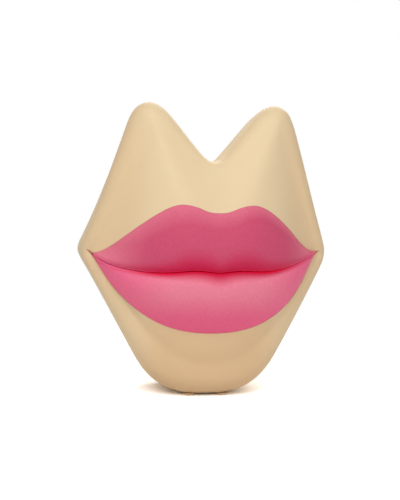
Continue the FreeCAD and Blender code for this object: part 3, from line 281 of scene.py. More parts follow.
class TelephoneColours(bpy.types.PropertyGroup):
    """Colours of the painted front and of the printing."""
    skin: bpy.props.FloatVectorProperty(
        name="Skin", description="Matte paint of the shell", default=linear("#e6cda4"), **PAINT)
    # Painted shade: the chin and the flanks are painted darker and warmer, as the shade and bounced light
    # there would make them
    skin_painted_shade: bpy.props.FloatVectorProperty(
        name="Skin shade", description="Warmer tone of the chin and the flanks",
        default=linear("#dfbe91"), **PAINT)
    # The upper lip's rose is painted darker than the lower lip's pink: painted shade of its downward face,
    # against painted light on the lower lip's upward face
    rose: bpy.props.FloatVectorProperty(
        name="Rose", description="Main paint of the upper lip", default=linear("#cd4f6f"), **PAINT)
    pink: bpy.props.FloatVectorProperty(
        name="Pink", description="Main paint of the lower lip", default=linear("#f66b92"), **PAINT)
    # Crimson is paint along the mouth line and also painted shade, where the upper lip turns down into the
    # gap and overhangs the lower lip
    crimson: bpy.props.FloatVectorProperty(
        name="Crimson", description="Paint along the mouth line", default=linear("#d0184a"), **PAINT)
    # Painted light: the rolled edges are painted brighter red so they stay red in the shade of the gap
    edge: bpy.props.FloatVectorProperty(
        name="Edge", description="Bright red paint on the rolled edges of the lips",
        default=linear("#fd2458"), **PAINT)
    # Pale paint at the upper lip's corners; on the lower lip's crest and along the upper lip's rim it is
    # partly a painted highlight
    blush_and_highlight: bpy.props.FloatVectorProperty(
        name="Blush", description="Pale paint of the corners and of the lower lip's crest",
        default=linear("#f48a9f"), **PAINT)
    crease: bpy.props.FloatVectorProperty(
        name="Crease", description="Line that runs on past the corners of the mouth",
        default=linear("#ad4a45"), **PAINT)
    ink: bpy.props.FloatVectorProperty(
        name="Ink", description="Printing on the keys and beside the switches",
        default=linear("#4a2a2c"), **PAINT)


class TelephoneSizes(bpy.types.PropertyGroup):
    """Sizes of the markings and fasteners."""
    digit_height: bpy.props.FloatProperty(
        name="Digit height", description="Height of the figures on the keys", default=4.6 * MM,
        unit="LENGTH")
    letter_height: bpy.props.FloatProperty(
        name="Letter height", description="Height of the letters on the keys and the cover",
        default=2.2 * MM, unit="LENGTH")
    relief: bpy.props.FloatProperty(
        name="Relief", description="How far printing stands up", default=0.06 * MM, unit="LENGTH")
    cross_width: bpy.props.FloatProperty(
        name="Cross width", description="Width of the recess in a screw head", default=0.9 * MM,
        unit="LENGTH")
    cross_depth: bpy.props.FloatProperty(
        name="Cross depth", description="Depth of the recess in a screw head", default=0.8 * MM,
        unit="LENGTH")
    rib_width: bpy.props.FloatProperty(
        name="Rib width", description="Width of each rib on a slide knob", default=0.7 * MM, unit="LENGTH")


class TelephoneStage(bpy.types.PropertyGroup):
    """Where the camera stands and how strong the lamps are."""
    azimuth: bpy.props.FloatProperty(
        name="Azimuth", description="Camera's turn round the telephone", default=math.radians(-12),
        subtype="ANGLE")
    roll: bpy.props.FloatProperty(
        name="Roll", description="Camera's turn about its own line of sight", default=math.radians(1.6),
        subtype="ANGLE")
    elevation: bpy.props.FloatProperty(
        name="Elevation", description="Camera's height above the horizon", default=math.radians(5.5),
        subtype="ANGLE")
    distance: bpy.props.FloatProperty(
        name="Distance", description="Camera to the middle of the telephone", default=0.83, unit="LENGTH")
    lens: bpy.props.FloatProperty(
        name="Lens", description="Focal length in millimetres", default=84.3, unit="CAMERA")
    key_power: bpy.props.FloatProperty(
        name="Key lamp", description="Power of the lamp at the upper left", default=8.5, unit="POWER")
    fill_power: bpy.props.FloatProperty(
        name="Fill lamp", description="Power of the lamp at the right", default=1.0, unit="POWER")
    back_power: bpy.props.FloatProperty(
        name="Back lamp", description="Power of the lamp behind the telephone", default=6.0, unit="POWER")
    sky: bpy.props.FloatProperty(
        name="Sky", description="Strength of the even light from all round", default=0.32)


class TELEPHONE_OT_skin(bpy.types.Operator):
    """Sprays the shell with matte skin-coloured paint, with painted shade on the chin and the flanks"""
    bl_idname = "telephone.skin"
    bl_label = "Skin"

    # The line past each corner, in mm: distance from the middle between the corners and height of its start
    # and end, its width, the distance from which it shows, and the depth up to which it does
    crease_start = Vector((80.0, 101.2))
    crease_end = Vector((85.0, 103.4))
    crease_width = 3.0
    crease_begin = 77.6
    front_depth = 14.0
    # Heights where the chin's painted shade gives way to the flanks', and how strong each is away from the
    # middle; it paints the chin and the flanks darker and warmer, as shade and bounced light make them
    chin_part = {"From Min": 20 * MM, "From Max": 140 * MM, "To Min": 1.0, "To Max": 0.0}
    chin_painted_shade = {"From Min": 30 * MM, "From Max": 60 * MM, "To Min": 1.0, "To Max": 0.15}
    flank_painted_shade = {"From Min": 40 * MM, "From Max": 65 * MM, "To Min": 0.0, "To Max": 0.5}

    def crease(self, tree, axes):
        """How strongly the line past a corner of the mouth shows: it thins out and ends on the cheek."""
        start, end = self.crease_start, self.crease_end
        centred = add(tree, "Math", {0: axes.outputs["X"], 1: CORNER_SHIFT * MM}, operation="ADD")
        reach = add(tree, "Math", {0: centred}, operation="ABSOLUTE")
        along = add(tree, "MapRange", {"Value": reach, "From Min": start.x * MM, "From Max": end.x * MM})
        rest = add(tree, "Math", {0: 1.0, 1: along}, operation="SUBTRACT")
        level = add(tree, "Math", {0: along, 1: (end - start).y * MM, 2: start.y * MM},
                    operation="MULTIPLY_ADD")
        left = add(tree, "Math", {0: axes.outputs["X"], 1: 0.0}, operation="LESS_THAN")
        sunk = add(tree, "Math", {0: rest, 1: left}, operation="MULTIPLY")
        line = add(tree, "Math", {0: sunk, 1: -CORNER_DROP * MM, 2: level}, operation="MULTIPLY_ADD")
        off = add(tree, "Math", {0: axes.outputs["Z"], 1: line}, operation="SUBTRACT")
        off = add(tree, "Math", {0: off}, operation="ABSOLUTE")
        width = add(tree, "Math", {0: rest, 1: self.crease_width * MM}, operation="MULTIPLY")
        near = add(tree, "MapRange", {"Value": off, "From Max": width, "To Min": 1.0, "To Max": 0.0},
                   **SMOOTH)
        begun = add(tree, "Math", {0: reach, 1: self.crease_begin * MM}, operation="GREATER_THAN")
        ahead = add(tree, "Math", {0: axes.outputs["Y"], 1: self.front_depth * MM}, operation="LESS_THAN")
        shown = add(tree, "Math", {0: begun, 1: ahead}, operation="MULTIPLY")
        return add(tree, "Math", {0: shown, 1: near}, operation="MULTIPLY")

    def execute(self, context):
        colours = context.scene.telephone_colours
        # Matte cellulose paint sprayed over plastic: dull, with a faint orange peel and a drift of tone
        material, tree, shader = finish_named("sprayed_cellulose_skin", Roughness=0.58, IOR=1.47)
        place = grain(tree, shader, size=1.4, depth=0.012)
        axes = add(tree, "SeparateXYZ", {0: place.outputs["Object"]})
        low = add(tree, "MapRange", {"Value": axes.outputs["Z"], **self.chin_part}, **SMOOTH)
        reach = add(tree, "Math", {0: axes.outputs["X"]}, operation="ABSOLUTE")
        chin = add(tree, "MapRange", {"Value": reach, **self.chin_painted_shade}, **SMOOTH)
        flank = add(tree, "MapRange", {"Value": reach, **self.flank_painted_shade}, **SMOOTH)
        # Painted shade: the chin and the flanks are mixed towards the darker, warmer colour
        shade = add(tree, "Mix", {"Factor": low, 2: flank, 3: chin})
        tone = add(tree, "Mix", {"Factor": shade, 6: colours.skin, 7: colours.skin_painted_shade}, **COLOUR)
        crease = self.crease(tree, axes)
        lined = add(tree, "Mix", {"Factor": crease, 6: tone.outputs[2], 7: colours.crease}, **COLOUR)
        mottle(tree, shader, place, lined.outputs[2], size=22.0, share=0.012)
        dress(material, ("front_shell",))
        return {"FINISHED"}


class TELEPHONE_OT_lips(bpy.types.Operator):
    """Airbrushes both lips from a crimson mouth line to rose and pink, with painted shade along the mouth
    line and on the upper lip, and painted highlights on the lower lip's crest and the upper lip's rim
    """
    bl_idname = "telephone.lips"
    bl_label = "Lips"

    half_width = 81.5
    corner_height = 102.5
    line_steps = 24
    # The mouth line in mm: how far it hangs, how much lower its left half hangs, the wave on each side of
    # the middle, and where the corners' drop and shift set in
    line_sag = 11.7
    line_skew = 7.6
    wave_rise, wave_place, wave_width = 2.2, 16.0, 14.0
    drop_from = 60.0
    shift_from = 40.0
    # Pairs of a share of the way from the middle to a corner and a length in mm: how far crimson, paint and
    # painted shade together, spreads off the mouth line on each lip, and how far the upper lip's outline
    # stands above the corners
    upper_crimson = ((0.0, 13.0), (0.25, 18.0), (0.42, 12.5), (0.7, 6.5), (1.0, 4.0))
    lower_crimson = ((0.0, 11.0), (0.25, 8.5), (0.5, 5.0), (0.75, 4.0), (1.0, 3.0))
    upper_outline = ((0.0, 29.5), (0.12, 31.3), (0.3, 35.0), (0.49, 29.0), (0.69, 16.0), (0.89, 3.0),
                     (1.0, 0.0))
    # Where the crimson starts to fade off the mouth line, its strength from the middle to the corners, and
    # the shares of the way where that changes
    crimson_from = 0.5 * MM
    corner_crimson = {"To Min": 1.0, "To Max": 0.5}
    corner_part = {"From Min": 0.45, "From Max": 0.85}
    # Blush of the upper lip, paint at the corners and partly a painted highlight along the rim: its
    # strength by the share of the way to a corner and on the rim, and the rim's width by the place across
    corner_blush = {"From Min": 0.55, "From Max": 1.0, "To Min": 0.0, "To Max": 0.7}
    rim_highlight_and_blush = {"To Min": 0.5, "To Max": 0.0}
    rim_width = {"From Min": -30 * MM, "From Max": 40 * MM, "To Min": 14 * MM, "To Max": 8 * MM}
    # Blush of the lower lip's crest, partly a painted highlight: its strength by the share, and where it
    # fades off the mouth line
    crest_highlight_and_blush = {"From Min": 0.3, "From Max": 0.85, "To Min": 0.9, "To Max": 0.1}
    crest_fade = {"From Min": 13 * MM, "From Max": 36 * MM, "To Max": 0.0}
    # Where the bright paint of the rolled edges, a painted light that keeps them red in the gap's shade,
    # fades off the mouth line
    edge_fade = {"From Min": 0.4 * MM, "From Max": 1.8 * MM, "To Min": 1.0, "To Max": 0.0}

    def towards_corner(self, x, start):
        """Smooth rise from 0 at that distance from the middle to 1 at a corner of the mouth."""
        share = max(0.0, min(1.0, (x - start) / (self.half_width - start)))
        return share * share * (3 - 2 * share)

    def sag(self, x):
        """How far the mouth line hangs below the right corner at a distance from the middle, in mm."""
        drop = CORNER_DROP * self.towards_corner(-x, self.drop_from)
        x = min(x + CORNER_SHIFT * self.towards_corner(abs(x), self.shift_from), self.half_width)
        share = x / self.half_width
        wave = self.wave_rise * math.exp(-((abs(x) - self.wave_place) / self.wave_width) ** 2)
        hang = (self.line_sag - self.line_skew * share ** 3) * (1 - share ** 4)
        return drop + hang - wave * (1 - share ** 2)

    def profile(self, tree, share, pairs):
        """Length that runs smoothly through pairs of a share from 0 to 1 and a length in mm."""
        longest = max(length for _, length in pairs)
        node = add(tree, "FloatCurve", {"Value": share})
        curve = node.mapping.curves[0]
        for at, length in pairs[1:-1]:
            curve.points.new(at, length / longest)
        curve.points[0].location = (pairs[0][0], pairs[0][1] / longest)
        curve.points[-1].location = (pairs[-1][0], pairs[-1][1] / longest)
        node.mapping.update()
        return add(tree, "Math", {0: node, 1: longest * MM}, operation="MULTIPLY")

    def line_drop(self, tree, axes):
        """How far the mouth line hangs below the right corner at the place's distance from the middle."""
        reach = self.half_width * MM
        across = add(tree, "MapRange", {"Value": axes.outputs["X"], "From Min": -reach, "From Max": reach})
        shares = [k / self.line_steps for k in range(self.line_steps + 1)]
        pairs = [(share, self.sag((2 * share - 1) * self.half_width)) for share in shares]
        return self.profile(tree, across, pairs)

    def upper_blush_and_highlight(self, tree, axes, share, rise):
        """How pale the upper lip is: paint at its corners, and partly a painted highlight along its rim."""
        corner = add(tree, "MapRange", {"Value": share, **self.corner_blush}, **SMOOTH)
        outline = self.profile(tree, share, self.upper_outline)
        below = add(tree, "Math", {0: outline, 1: rise}, operation="SUBTRACT")
        width = add(tree, "MapRange", {"Value": axes.outputs["X"], **self.rim_width})
        rim = add(tree, "MapRange", {"Value": below, "From Max": width, **self.rim_highlight_and_blush})
        return add(tree, "Math", {0: corner, 1: rim}, operation="MAXIMUM")

    def lower_highlight_and_blush(self, tree, share, away):
        """How pale the lower lip is: on its crest, partly as a painted highlight, less so towards the
        corners.
        """
        middle = add(tree, "MapRange", {"Value": share, **self.crest_highlight_and_blush}, **SMOOTH)
        return add(tree, "MapRange", {"Value": away, "To Min": middle, **self.crest_fade}, **SMOOTH)

    def execute(self, context):
        colours = context.scene.telephone_colours
        # Rose is darker than pink as painted shade of the upper lip's downward face, and pink lighter as
        # painted light
        for node, side, paint, widths in (("upper_lip", 1, colours.rose, self.upper_crimson),
                                          ("lower_lip", -1, colours.pink, self.lower_crimson)):
            # Vinyl paint airbrushed over moulded plastic: matte, speckled by the spray
            material, tree, shader = finish_named("airbrushed_vinyl_" + node, Roughness=0.6, IOR=1.47,
                                                  Specular_IOR_Level=0.2)
            place = grain(tree, shader, size=0.9, depth=0.014)
            axes = add(tree, "SeparateXYZ", {0: place.outputs["Object"]})
            rise = add(tree, "Math", {0: axes.outputs["Z"], 1: self.corner_height * MM},
                       operation="SUBTRACT")
            off = add(tree, "Math", {0: rise, 1: self.line_drop(tree, axes)}, operation="ADD")
            away = add(tree, "Math", {0: off, 1: side}, operation="MULTIPLY")
            reach = add(tree, "Math", {0: axes.outputs["X"]}, operation="ABSOLUTE")
            share = add(tree, "Math", {0: reach, 1: per_mm(self.half_width)}, operation="MULTIPLY")
            outer = add(tree, "MapRange", {"Value": share, **self.corner_part}, **SMOOTH)
            strength = add(tree, "MapRange", {"Value": outer, **self.corner_crimson})
            width = self.profile(tree, share, widths)
            # Crimson near the mouth line: paint, and painted shade of the gap and of the upper lip's
            # overhang
            near = add(tree, "MapRange", {"Value": away, "From Min": self.crimson_from, "From Max": width,
                                          "To Min": strength, "To Max": 0.0}, **SMOOTH)
            # Paleness: paint at the corners, and partly a painted highlight on the lower lip's crest and
            # the upper lip's rim
            pale = (self.upper_blush_and_highlight(tree, axes, share, rise) if side > 0 else
                    self.lower_highlight_and_blush(tree, share, away))
            base = add(tree, "Mix", {"Factor": pale, 6: paint, 7: colours.blush_and_highlight}, **COLOUR)
            tone = add(tree, "Mix", {"Factor": near, 6: base.outputs[2], 7: colours.crimson}, **COLOUR)
            # The rolled edge faces the gap, so it is painted brighter to stay red in the shade
            bright = add(tree, "Mix", {"Factor": outer, 6: colours.edge, 7: colours.pink}, **COLOUR)
            rolled = add(tree, "MapRange", {"Value": away, **self.edge_fade}, **SMOOTH)
            tone = add(tree, "Mix", {"Factor": rolled, 6: tone.outputs[2], 7: bright.outputs[2]}, **COLOUR)
            mottle(tree, shader, place, tone.outputs[2], size=1.6, share=0.05)
            dress(material, (node,))
        return {"FINISHED"}


class TELEPHONE_OT_mouldings(bpy.types.Operator):
    """Finishes the plain plastic and rubber pieces"""
    bl_idname = "telephone.mouldings"
    bl_label = "Plastics and rubbers"

    def execute(self, context):
        for name, nodes, colour, roughness, size, depth, drift in MOULDINGS:
            material = plain_finish(name, linear(colour), size, depth, patch=18.0, drift=drift,
                                    Roughness=roughness, IOR=1.5)
            dress(material, nodes)
        return {"FINISHED"}


class TELEPHONE_OT_metals(bpy.types.Operator):
    """Finishes the metal pieces with drawn or cast marks"""
    bl_idname = "telephone.metals"
    bl_label = "Metals"

    def execute(self, context):
        for name, nodes, colour, roughness, length, width, depth in METALS:
            material, tree, shader = finish_named(name, Metallic=1.0, Roughness=roughness)
            place = add(tree, "TexCoord")
            stretch = add(tree, "Mapping", {"Vector": place.outputs["Object"],
                                            "Scale": (per_mm(length), per_mm(width), per_mm(width))})
            marks = add(tree, "TexNoise", {"Vector": stretch, "Scale": 1.0, "Detail": 2.0})
            bump = add(tree, "Bump", {"Height": marks.outputs["Fac"], "Distance": depth * MM})
            tree.links.new(bump.outputs["Normal"], shader.inputs["Normal"])
            mottle(tree, shader, place, linear(colour), size=6.0, share=0.06)
            dress(material, nodes)
        return {"FINISHED"}


class TELEPHONE_OT_boards(bpy.types.Operator):
    """Finishes the circuit boards and the transformer's core"""
    bl_idname = "telephone.boards"
    bl_label = "Boards"

    track_pitch = 2.54
    # Heights of the wave across a track between which lacquer turns to copper
    track_edge = {"From Min": 0.72, "From Max": 0.8}
    patch_size = 14.0
    sheet_pitch = 0.5

    def execute(self, context):
        # Paper phenolic under green lacquer: paler copper tracks, upright or level from patch to patch
        material, tree, shader = finish_named("lacquered_phenolic_board", Roughness=0.35, IOR=1.55)
        place = grain(tree, shader, size=0.5, depth=0.006)
        runs = [add(tree, "TexWave", {"Vector": place.outputs["Object"],
                                      "Scale": bands_per_mm(self.track_pitch)}, bands_direction=way)
                for way in ("X", "Z")]
        patches = add(tree, "TexNoise", {"Vector": place.outputs["Object"],
                                         "Scale": per_mm(self.patch_size), "Detail": 0.0})
        turn = add(tree, "Math", {0: patches.outputs["Fac"], 1: 0.5}, operation="GREATER_THAN")
        run = add(tree, "Mix", {"Factor": turn, 2: runs[0].outputs["Fac"], 3: runs[1].outputs["Fac"]})
        track = add(tree, "MapRange", {"Value": run, **self.track_edge})
        tracks = add(tree, "Mix", {"Factor": track, 6: linear("#4f5f33"), 7: linear("#7f8f4c")}, **COLOUR)
        mottle(tree, shader, place, tracks.outputs[2], size=9.0, share=0.05)
        dress(material, ("keypad_board", "main_board"))
        # Stacked silicon steel: thin dark lines between lacquered sheets
        material, tree, shader = finish_named("stacked_laminations", Metallic=0.6, Roughness=0.45)
        place = add(tree, "TexCoord")
        sheets = add(tree, "TexWave", {"Vector": place.outputs["Object"],
                                       "Scale": bands_per_mm(self.sheet_pitch)}, bands_direction="Z")
        lines = add(tree, "Mix", {"Factor": sheets.outputs["Fac"], 6: linear("#2d2926"),
                                  7: linear("#5c5650")}, **COLOUR)
        mottle(tree, shader, place, lines.outputs[2], size=5.0, share=0.05)
        dress(material, ("transformer_core",))
        return {"FINISHED"}


def printing(colours, name):
    """Screen-printed ink: flat, a little rough at its edges, slightly worn."""
    return plain_finish(name, colours.ink, grain_size=0.3, grain_depth=0.004, patch=1.2, drift=0.12,
                        Roughness=0.55, IOR=1.5)


def lettering(text, height, relief, place):
    """Text that faces the back, made a mesh."""
    bpy.ops.object.text_add(location=place, rotation=FACING_BACK)
    piece = bpy.context.object
    piece.data.body = text
    piece.data.align_x = "CENTER"
    piece.data.align_y = "CENTER"
    piece.data.size = height / CAPITAL_SHARE
    piece.data.extrude = relief
    piece.data.resolution_u = 4
    bpy.ops.object.convert(target="MESH")
    piece = bpy.context.object
    edit_all()
    bpy.ops.mesh.remove_doubles(threshold=MERGE_DISTANCE)
    bpy.ops.object.mode_set(mode="OBJECT")
    return piece


class TELEPHONE_OT_key_legends(bpy.types.Operator):
    """Prints the figures and letters on the keys"""
    bl_idname = "telephone.key_legends"
    bl_label = "Key legends"

    figure_drop = 1.0 * MM
    small_letters = 0.75

    def execute(self, context):
        sizes = context.scene.telephone_sizes
        ink = printing(context.scene.telephone_colours, "printed_key_ink")
        for node, (figure, letters) in KEY_MARKS.items():
            low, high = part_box(node)
            middle = (low + high) / 2
            drop = self.figure_drop if letters else 0.0
            pieces = [lettering(figure, sizes.digit_height, sizes.relief,
                                Vector((middle.x, high.y, middle.z - drop)))]
            if letters:
                rise = drop + sizes.digit_height / 2
                pieces.append(lettering(letters, sizes.letter_height * self.small_letters, sizes.relief,
                                        Vector((middle.x, high.y, middle.z + rise))))
            piece = joined(pieces) if letters else pieces[0]
            settle(piece, node.replace("key_", "legend_"), ink, node)
        return {"FINISHED"}


class TELEPHONE_OT_switch_marks(bpy.types.Operator):
    """Prints the positions beside the two slide switches"""
    bl_idname = "telephone.switch_marks"
    bl_label = "Switch marks"

    clear_of_knob = 6 * MM

    def execute(self, context):
        sizes = context.scene.telephone_sizes
        ink = printing(context.scene.telephone_colours, "printed_cover_ink")
        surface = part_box("rear_cover")[1].y
        for knob, above, below in (("ringer_switch_knob", "ON", "OFF"), ("dial_mode_knob", "T", "P")):
            low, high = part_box(knob)
            middle = (low + high) / 2
            gap = (high.z - low.z) / 2 + self.clear_of_knob
            pieces = [lettering(text, sizes.letter_height, sizes.relief, Vector((middle.x, surface, z)))
                      for text, z in ((above, middle.z + gap), (below, middle.z - gap))]
            settle(joined(pieces), knob.replace("knob", "marks"), ink, "casing")
        return {"FINISHED"}


class TELEPHONE_OT_knob_ribs(bpy.types.Operator):
    """Adds finger ribs to the slide knobs"""
    bl_idname = "telephone.knob_ribs"
    bl_label = "Knob ribs"

    pitch = 1.4 * MM
    # Length of a rib as a share of the knob's; its rounding and its middle's depth as shares of its width
    length_share = 0.7
    rounding = 0.35
    middle_depth = 0.4

    def execute(self, context):
        width = context.scene.telephone_sizes.rib_width
        for knob in ("ringer_switch_knob", "dial_mode_knob"):
            low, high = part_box(knob)
            middle = (low + high) / 2
            across = (high.x - low.x) * self.length_share
            bpy.ops.mesh.primitive_cube_add(size=1)
            rib = bpy.context.object
            rib.scale = (across, 2 * width, width)
            bpy.ops.object.transform_apply(location=False, rotation=False, scale=True)
            edit_all()
            bpy.ops.mesh.bevel(offset=width * self.rounding, segments=2)
            shade_smooth(40)
            level = high.y - width * self.middle_depth
            places = [Vector((middle.x, level, middle.z + k * self.pitch)) for k in (-1, 0, 1)]
            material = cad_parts[knob].material_slots[0].material
            settle(joined(copied(rib, places)), knob.replace("knob", "ribs"), material, knob)
        return {"FINISHED"}


class TELEPHONE_OT_screws(bpy.types.Operator):
    """Replaces the outside screws by ones with cross recesses"""
    bl_idname = "telephone.screws"
    bl_label = "Outside screws"

    head_height = 1.3 * MM
    shank_radius = 1.5 * MM
    # Rounding of a head as a share of its height, and length of its recess as a share of its radius
    head_round = 0.35
    cross_length = 1.15
    least_spacing = 6 * MM

    def cross_screw(self, sizes, radius, length):
        """Upright pan-head screw with a cross recess, its head's top at the origin."""
        screw = upright_cylinder(ROUND_SIDES, radius, self.head_height, -self.head_height / 2)
        pick_faces(screw, UP)
        bpy.ops.mesh.bevel(offset=self.head_height * self.head_round, segments=3)
        pick_faces(screw, -UP)
        bpy.ops.mesh.inset(thickness=radius - self.shank_radius)
        extrude(self.head_height - length)
        bpy.ops.object.mode_set(mode="OBJECT")
        for turn in (0, 90):
            bpy.ops.mesh.primitive_cube_add(size=1, rotation=(0, 0, math.radians(turn)))
            cutter = bpy.context.object
            cutter.scale = (radius * self.cross_length, sizes.cross_width, 2 * sizes.cross_depth)
            select(screw)
            slot = screw.modifiers.new("cross", "BOOLEAN")
            slot.object = cutter
            slot.operation = "DIFFERENCE"
            slot.solver = "EXACT"
            bpy.ops.object.modifier_apply(modifier=slot.name)
            bpy.data.objects.remove(cutter)
        shade_smooth(35)
        return screw

    def single_screws(self, node, along):
        """Lowest and highest corner of each screw of a node, told apart by their places across an axis."""
        screws = []
        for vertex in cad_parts[node].data.vertices:
            for screw in screws:
                steps = [abs(vertex.co[k] - screw[0][k]) for k in range(3) if k != along]
                if max(steps) < self.least_spacing:
                    screw.append(vertex.co)
                    break
            else:
                screws.append([vertex.co])
        return [(Vector([min(point[k] for point in screw) for k in range(3)]),
                 Vector([max(point[k] for point in screw) for k in range(3)])) for screw in screws]

    def execute(self, context):
        sizes = context.scene.telephone_sizes
        # Bright zinc plate over steel: pale grey, faintly brushed by the die
        material = plain_finish("bright_zinc_screws", linear("#c2c4c6"), grain_size=0.4, grain_depth=0.004,
                                patch=2.5, drift=0.06, Metallic=1.0, Roughness=0.3)
        # Turn about X in degrees, the axis that the screws lie along, and the corner where their heads are
        for node, turn, along, head in (("rear_cover_screws", -90, 1, 1),
                                        ("hook_chassis_screws", 180, 2, 0)):
            corners = self.single_screws(node, along)
            low, high = corners[0]
            screw = self.cross_screw(sizes, (high.x - low.x) / 2, high[along] - low[along])
            screw.rotation_euler = (math.radians(turn), 0, 0)
            places = []
            for pair in corners:
                place = (pair[0] + pair[1]) / 2
                place[along] = pair[head][along]
                places.append(place)
            piece = settle(joined(copied(screw, places)), node.replace("screws", "cross_screws"), material,
                           "casing")
            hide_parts(node)
        return {"FINISHED"}


class TELEPHONE_OT_feet(bpy.types.Operator):
    """Replaces the plain feet by rounded ones with a suction dish"""
    bl_idname = "telephone.feet"
    bl_label = "Feet"

    radius = 4.0 * MM
    edge_round = 0.5 * MM
    dish_rim = 1.0 * MM
    dish_depth = 0.4 * MM
    dish_floor_inset = 0.3 * MM

    def execute(self, context):
        low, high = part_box("rubber_feet")
        height = high.z - low.z
        # Soft vinyl tinted like the shell: dull, a little dusty in its grain
        material = plain_finish("moulded_soft_vinyl", linear("#d9b68a"), grain_size=0.5, grain_depth=0.03,
                                patch=3.0, drift=0.06, Roughness=0.75, IOR=1.52)
        foot = upright_cylinder(ROUND_SIDES, self.radius, height, height / 2)
        pick_faces(foot, -UP)
        bpy.ops.mesh.bevel(offset=self.edge_round, segments=3)
        pick_faces(foot, -UP, SQUARE)
        bpy.ops.mesh.inset(thickness=self.dish_rim)
        extrude(self.dish_depth)
        bpy.ops.mesh.inset(thickness=self.dish_floor_inset)
        shade_smooth(40)
        places = [Vector((x, y, 0)) for x in (low.x + self.radius, high.x - self.radius)
                  for y in (low.y + self.radius, high.y - self.radius)]
        piece = settle(joined(copied(foot, places)), "dished_feet", material, "casing")
        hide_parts("rubber_feet")
        return {"FINISHED"}


class TELEPHONE_OT_mat(bpy.types.Operator):
    """Replaces the rubber mat by a sheet with a dome under each key"""
    bl_idname = "telephone.mat"
    bl_label = "Rubber mat"

    sheet_thickness = 1.2 * MM
    corner_radius = 2.5 * MM
    dome_sides = 32
    foot_radius = 4.2 * MM
    skirt_radius = 3.8 * MM
    skirt_share = 0.3
    stem_radius = 3.1 * MM
    top_round = 0.4 * MM
    dish_rim = 0.7 * MM
    dish_depth = 0.3 * MM
    press = 1.3 * MM

    def sheet(self, low, high):
        """Flat sheet with rounded corners and a softened rim."""
        bpy.ops.mesh.primitive_cube_add(size=1, location=(low + high) / 2)
        piece = bpy.context.object
        piece.scale = high - low
        bpy.ops.object.transform_apply(location=True, rotation=False, scale=True)
        corners = piece.modifiers.new("corners", "BEVEL")
        corners.width = self.corner_radius
        corners.segments = 5
        corners.limit_method = "WEIGHT"
        weights = piece.data.attributes.new("bevel_weight_edge", "FLOAT", "EDGE")
        for edge in piece.data.edges:
            first, second = (piece.data.vertices[k].co for k in edge.vertices)
            weights.data[edge.index].value = float(abs(first.y - second.y) > self.sheet_thickness / 2)
        bpy.ops.object.modifier_apply(modifier=corners.name)
        bpy.ops.object.mode_set(mode="EDIT")
        pick_faces(piece, BACK)
        bpy.ops.mesh.bevel(offset=self.sheet_thickness / 4, segments=2)
        shade_smooth(40)
        return piece

    def dome(self, height):
        """Dome with a skirt, a stem and a dished top; a quarter of its foot is sunk below the origin."""
        foot = self.sheet_thickness / 2
        foot_top = foot * 0.75
        piece = upright_cylinder(self.dome_sides, self.foot_radius, foot, foot / 4)
        pick_faces(piece, UP)
        bpy.ops.mesh.inset(thickness=self.foot_radius - self.skirt_radius)
        slope = height * self.skirt_share
        extrude(slope)
        shrink = self.stem_radius / self.skirt_radius
        bpy.ops.transform.resize(value=(shrink, shrink, 1))
        extrude(height - slope - foot_top)
        bpy.ops.mesh.bevel(offset=self.top_round, segments=3)
        pick_faces(piece, UP, SQUARE, above=height - self.top_round)
        bpy.ops.mesh.inset(thickness=self.dish_rim)
        extrude(-self.dish_depth)
        shade_smooth(35)
        piece.rotation_euler = (math.radians(-90), 0, 0)
        return piece

    def execute(self, context):
        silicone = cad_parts["keypad_mat"].material_slots[0].material
        low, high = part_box("keypad_mat")
        level = low.y + self.sheet_thickness
        height = high.y - level
        sheet = self.sheet(low, Vector((high.x, level, high.z)))
        settle(sheet, "mat_sheet", silicone, "casing")
        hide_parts("keypad_mat")
        places = []
        for key in KEY_MARKS:
            start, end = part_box(key)
            places.append(Vector(((start.x + end.x) / 2, level, (start.z + end.z) / 2)))
        for key, piece, place in zip(KEY_MARKS, copied(self.dome(height), places), places):
            settle(piece, key.replace("key_", "dome_"), silicone, "casing")
            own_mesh(piece)
        return {"FINISHED"}


class TELEPHONE_OT_spring(bpy.types.Operator):
    """Replaces the hook's coil by a smoothly wound one"""
    bl_idname = "telephone.spring"
    bl_label = "Hook spring"

    wire = 0.8 * MM
    turns = 5
    steps = 40

    def execute(self, context):
        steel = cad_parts["hook_spring"].material_slots[0].material
        low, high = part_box("hook_spring")
        middle = (low + high) / 2
        radius = (high.x - low.x - self.wire) / 2
        bpy.ops.mesh.primitive_circle_add(vertices=12, radius=self.wire / 2, location=(radius, 0, 0),
                                          rotation=(math.radians(90), 0, 0))
        coil = bpy.context.object
        bpy.ops.object.transform_apply(location=True, rotation=True, scale=False)
        winding = coil.modifiers.new("winding", "SCREW")
        winding.axis = "Z"
        winding.angle = 2 * math.pi
        winding.iterations = self.turns
        winding.screw_offset = (high.z - low.z - self.wire) / self.turns
        winding.steps = self.steps
        winding.render_steps = self.steps
        bpy.ops.object.modifier_apply(modifier=winding.name)
        edit_all()
        bpy.ops.mesh.remove_doubles(threshold=MERGE_DISTANCE)
        bpy.ops.mesh.fill_holes(sides=0)
        bpy.ops.mesh.select_all(action="SELECT")
        bpy.ops.mesh.normals_make_consistent(inside=False)
        shade_smooth(50)
        coil.location = (middle.x, middle.y, low.z + self.wire / 2)
        coil = settle(coil, "hook_coil", steel)
        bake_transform(coil)
        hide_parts("hook_spring")
        return {"FINISHED"}


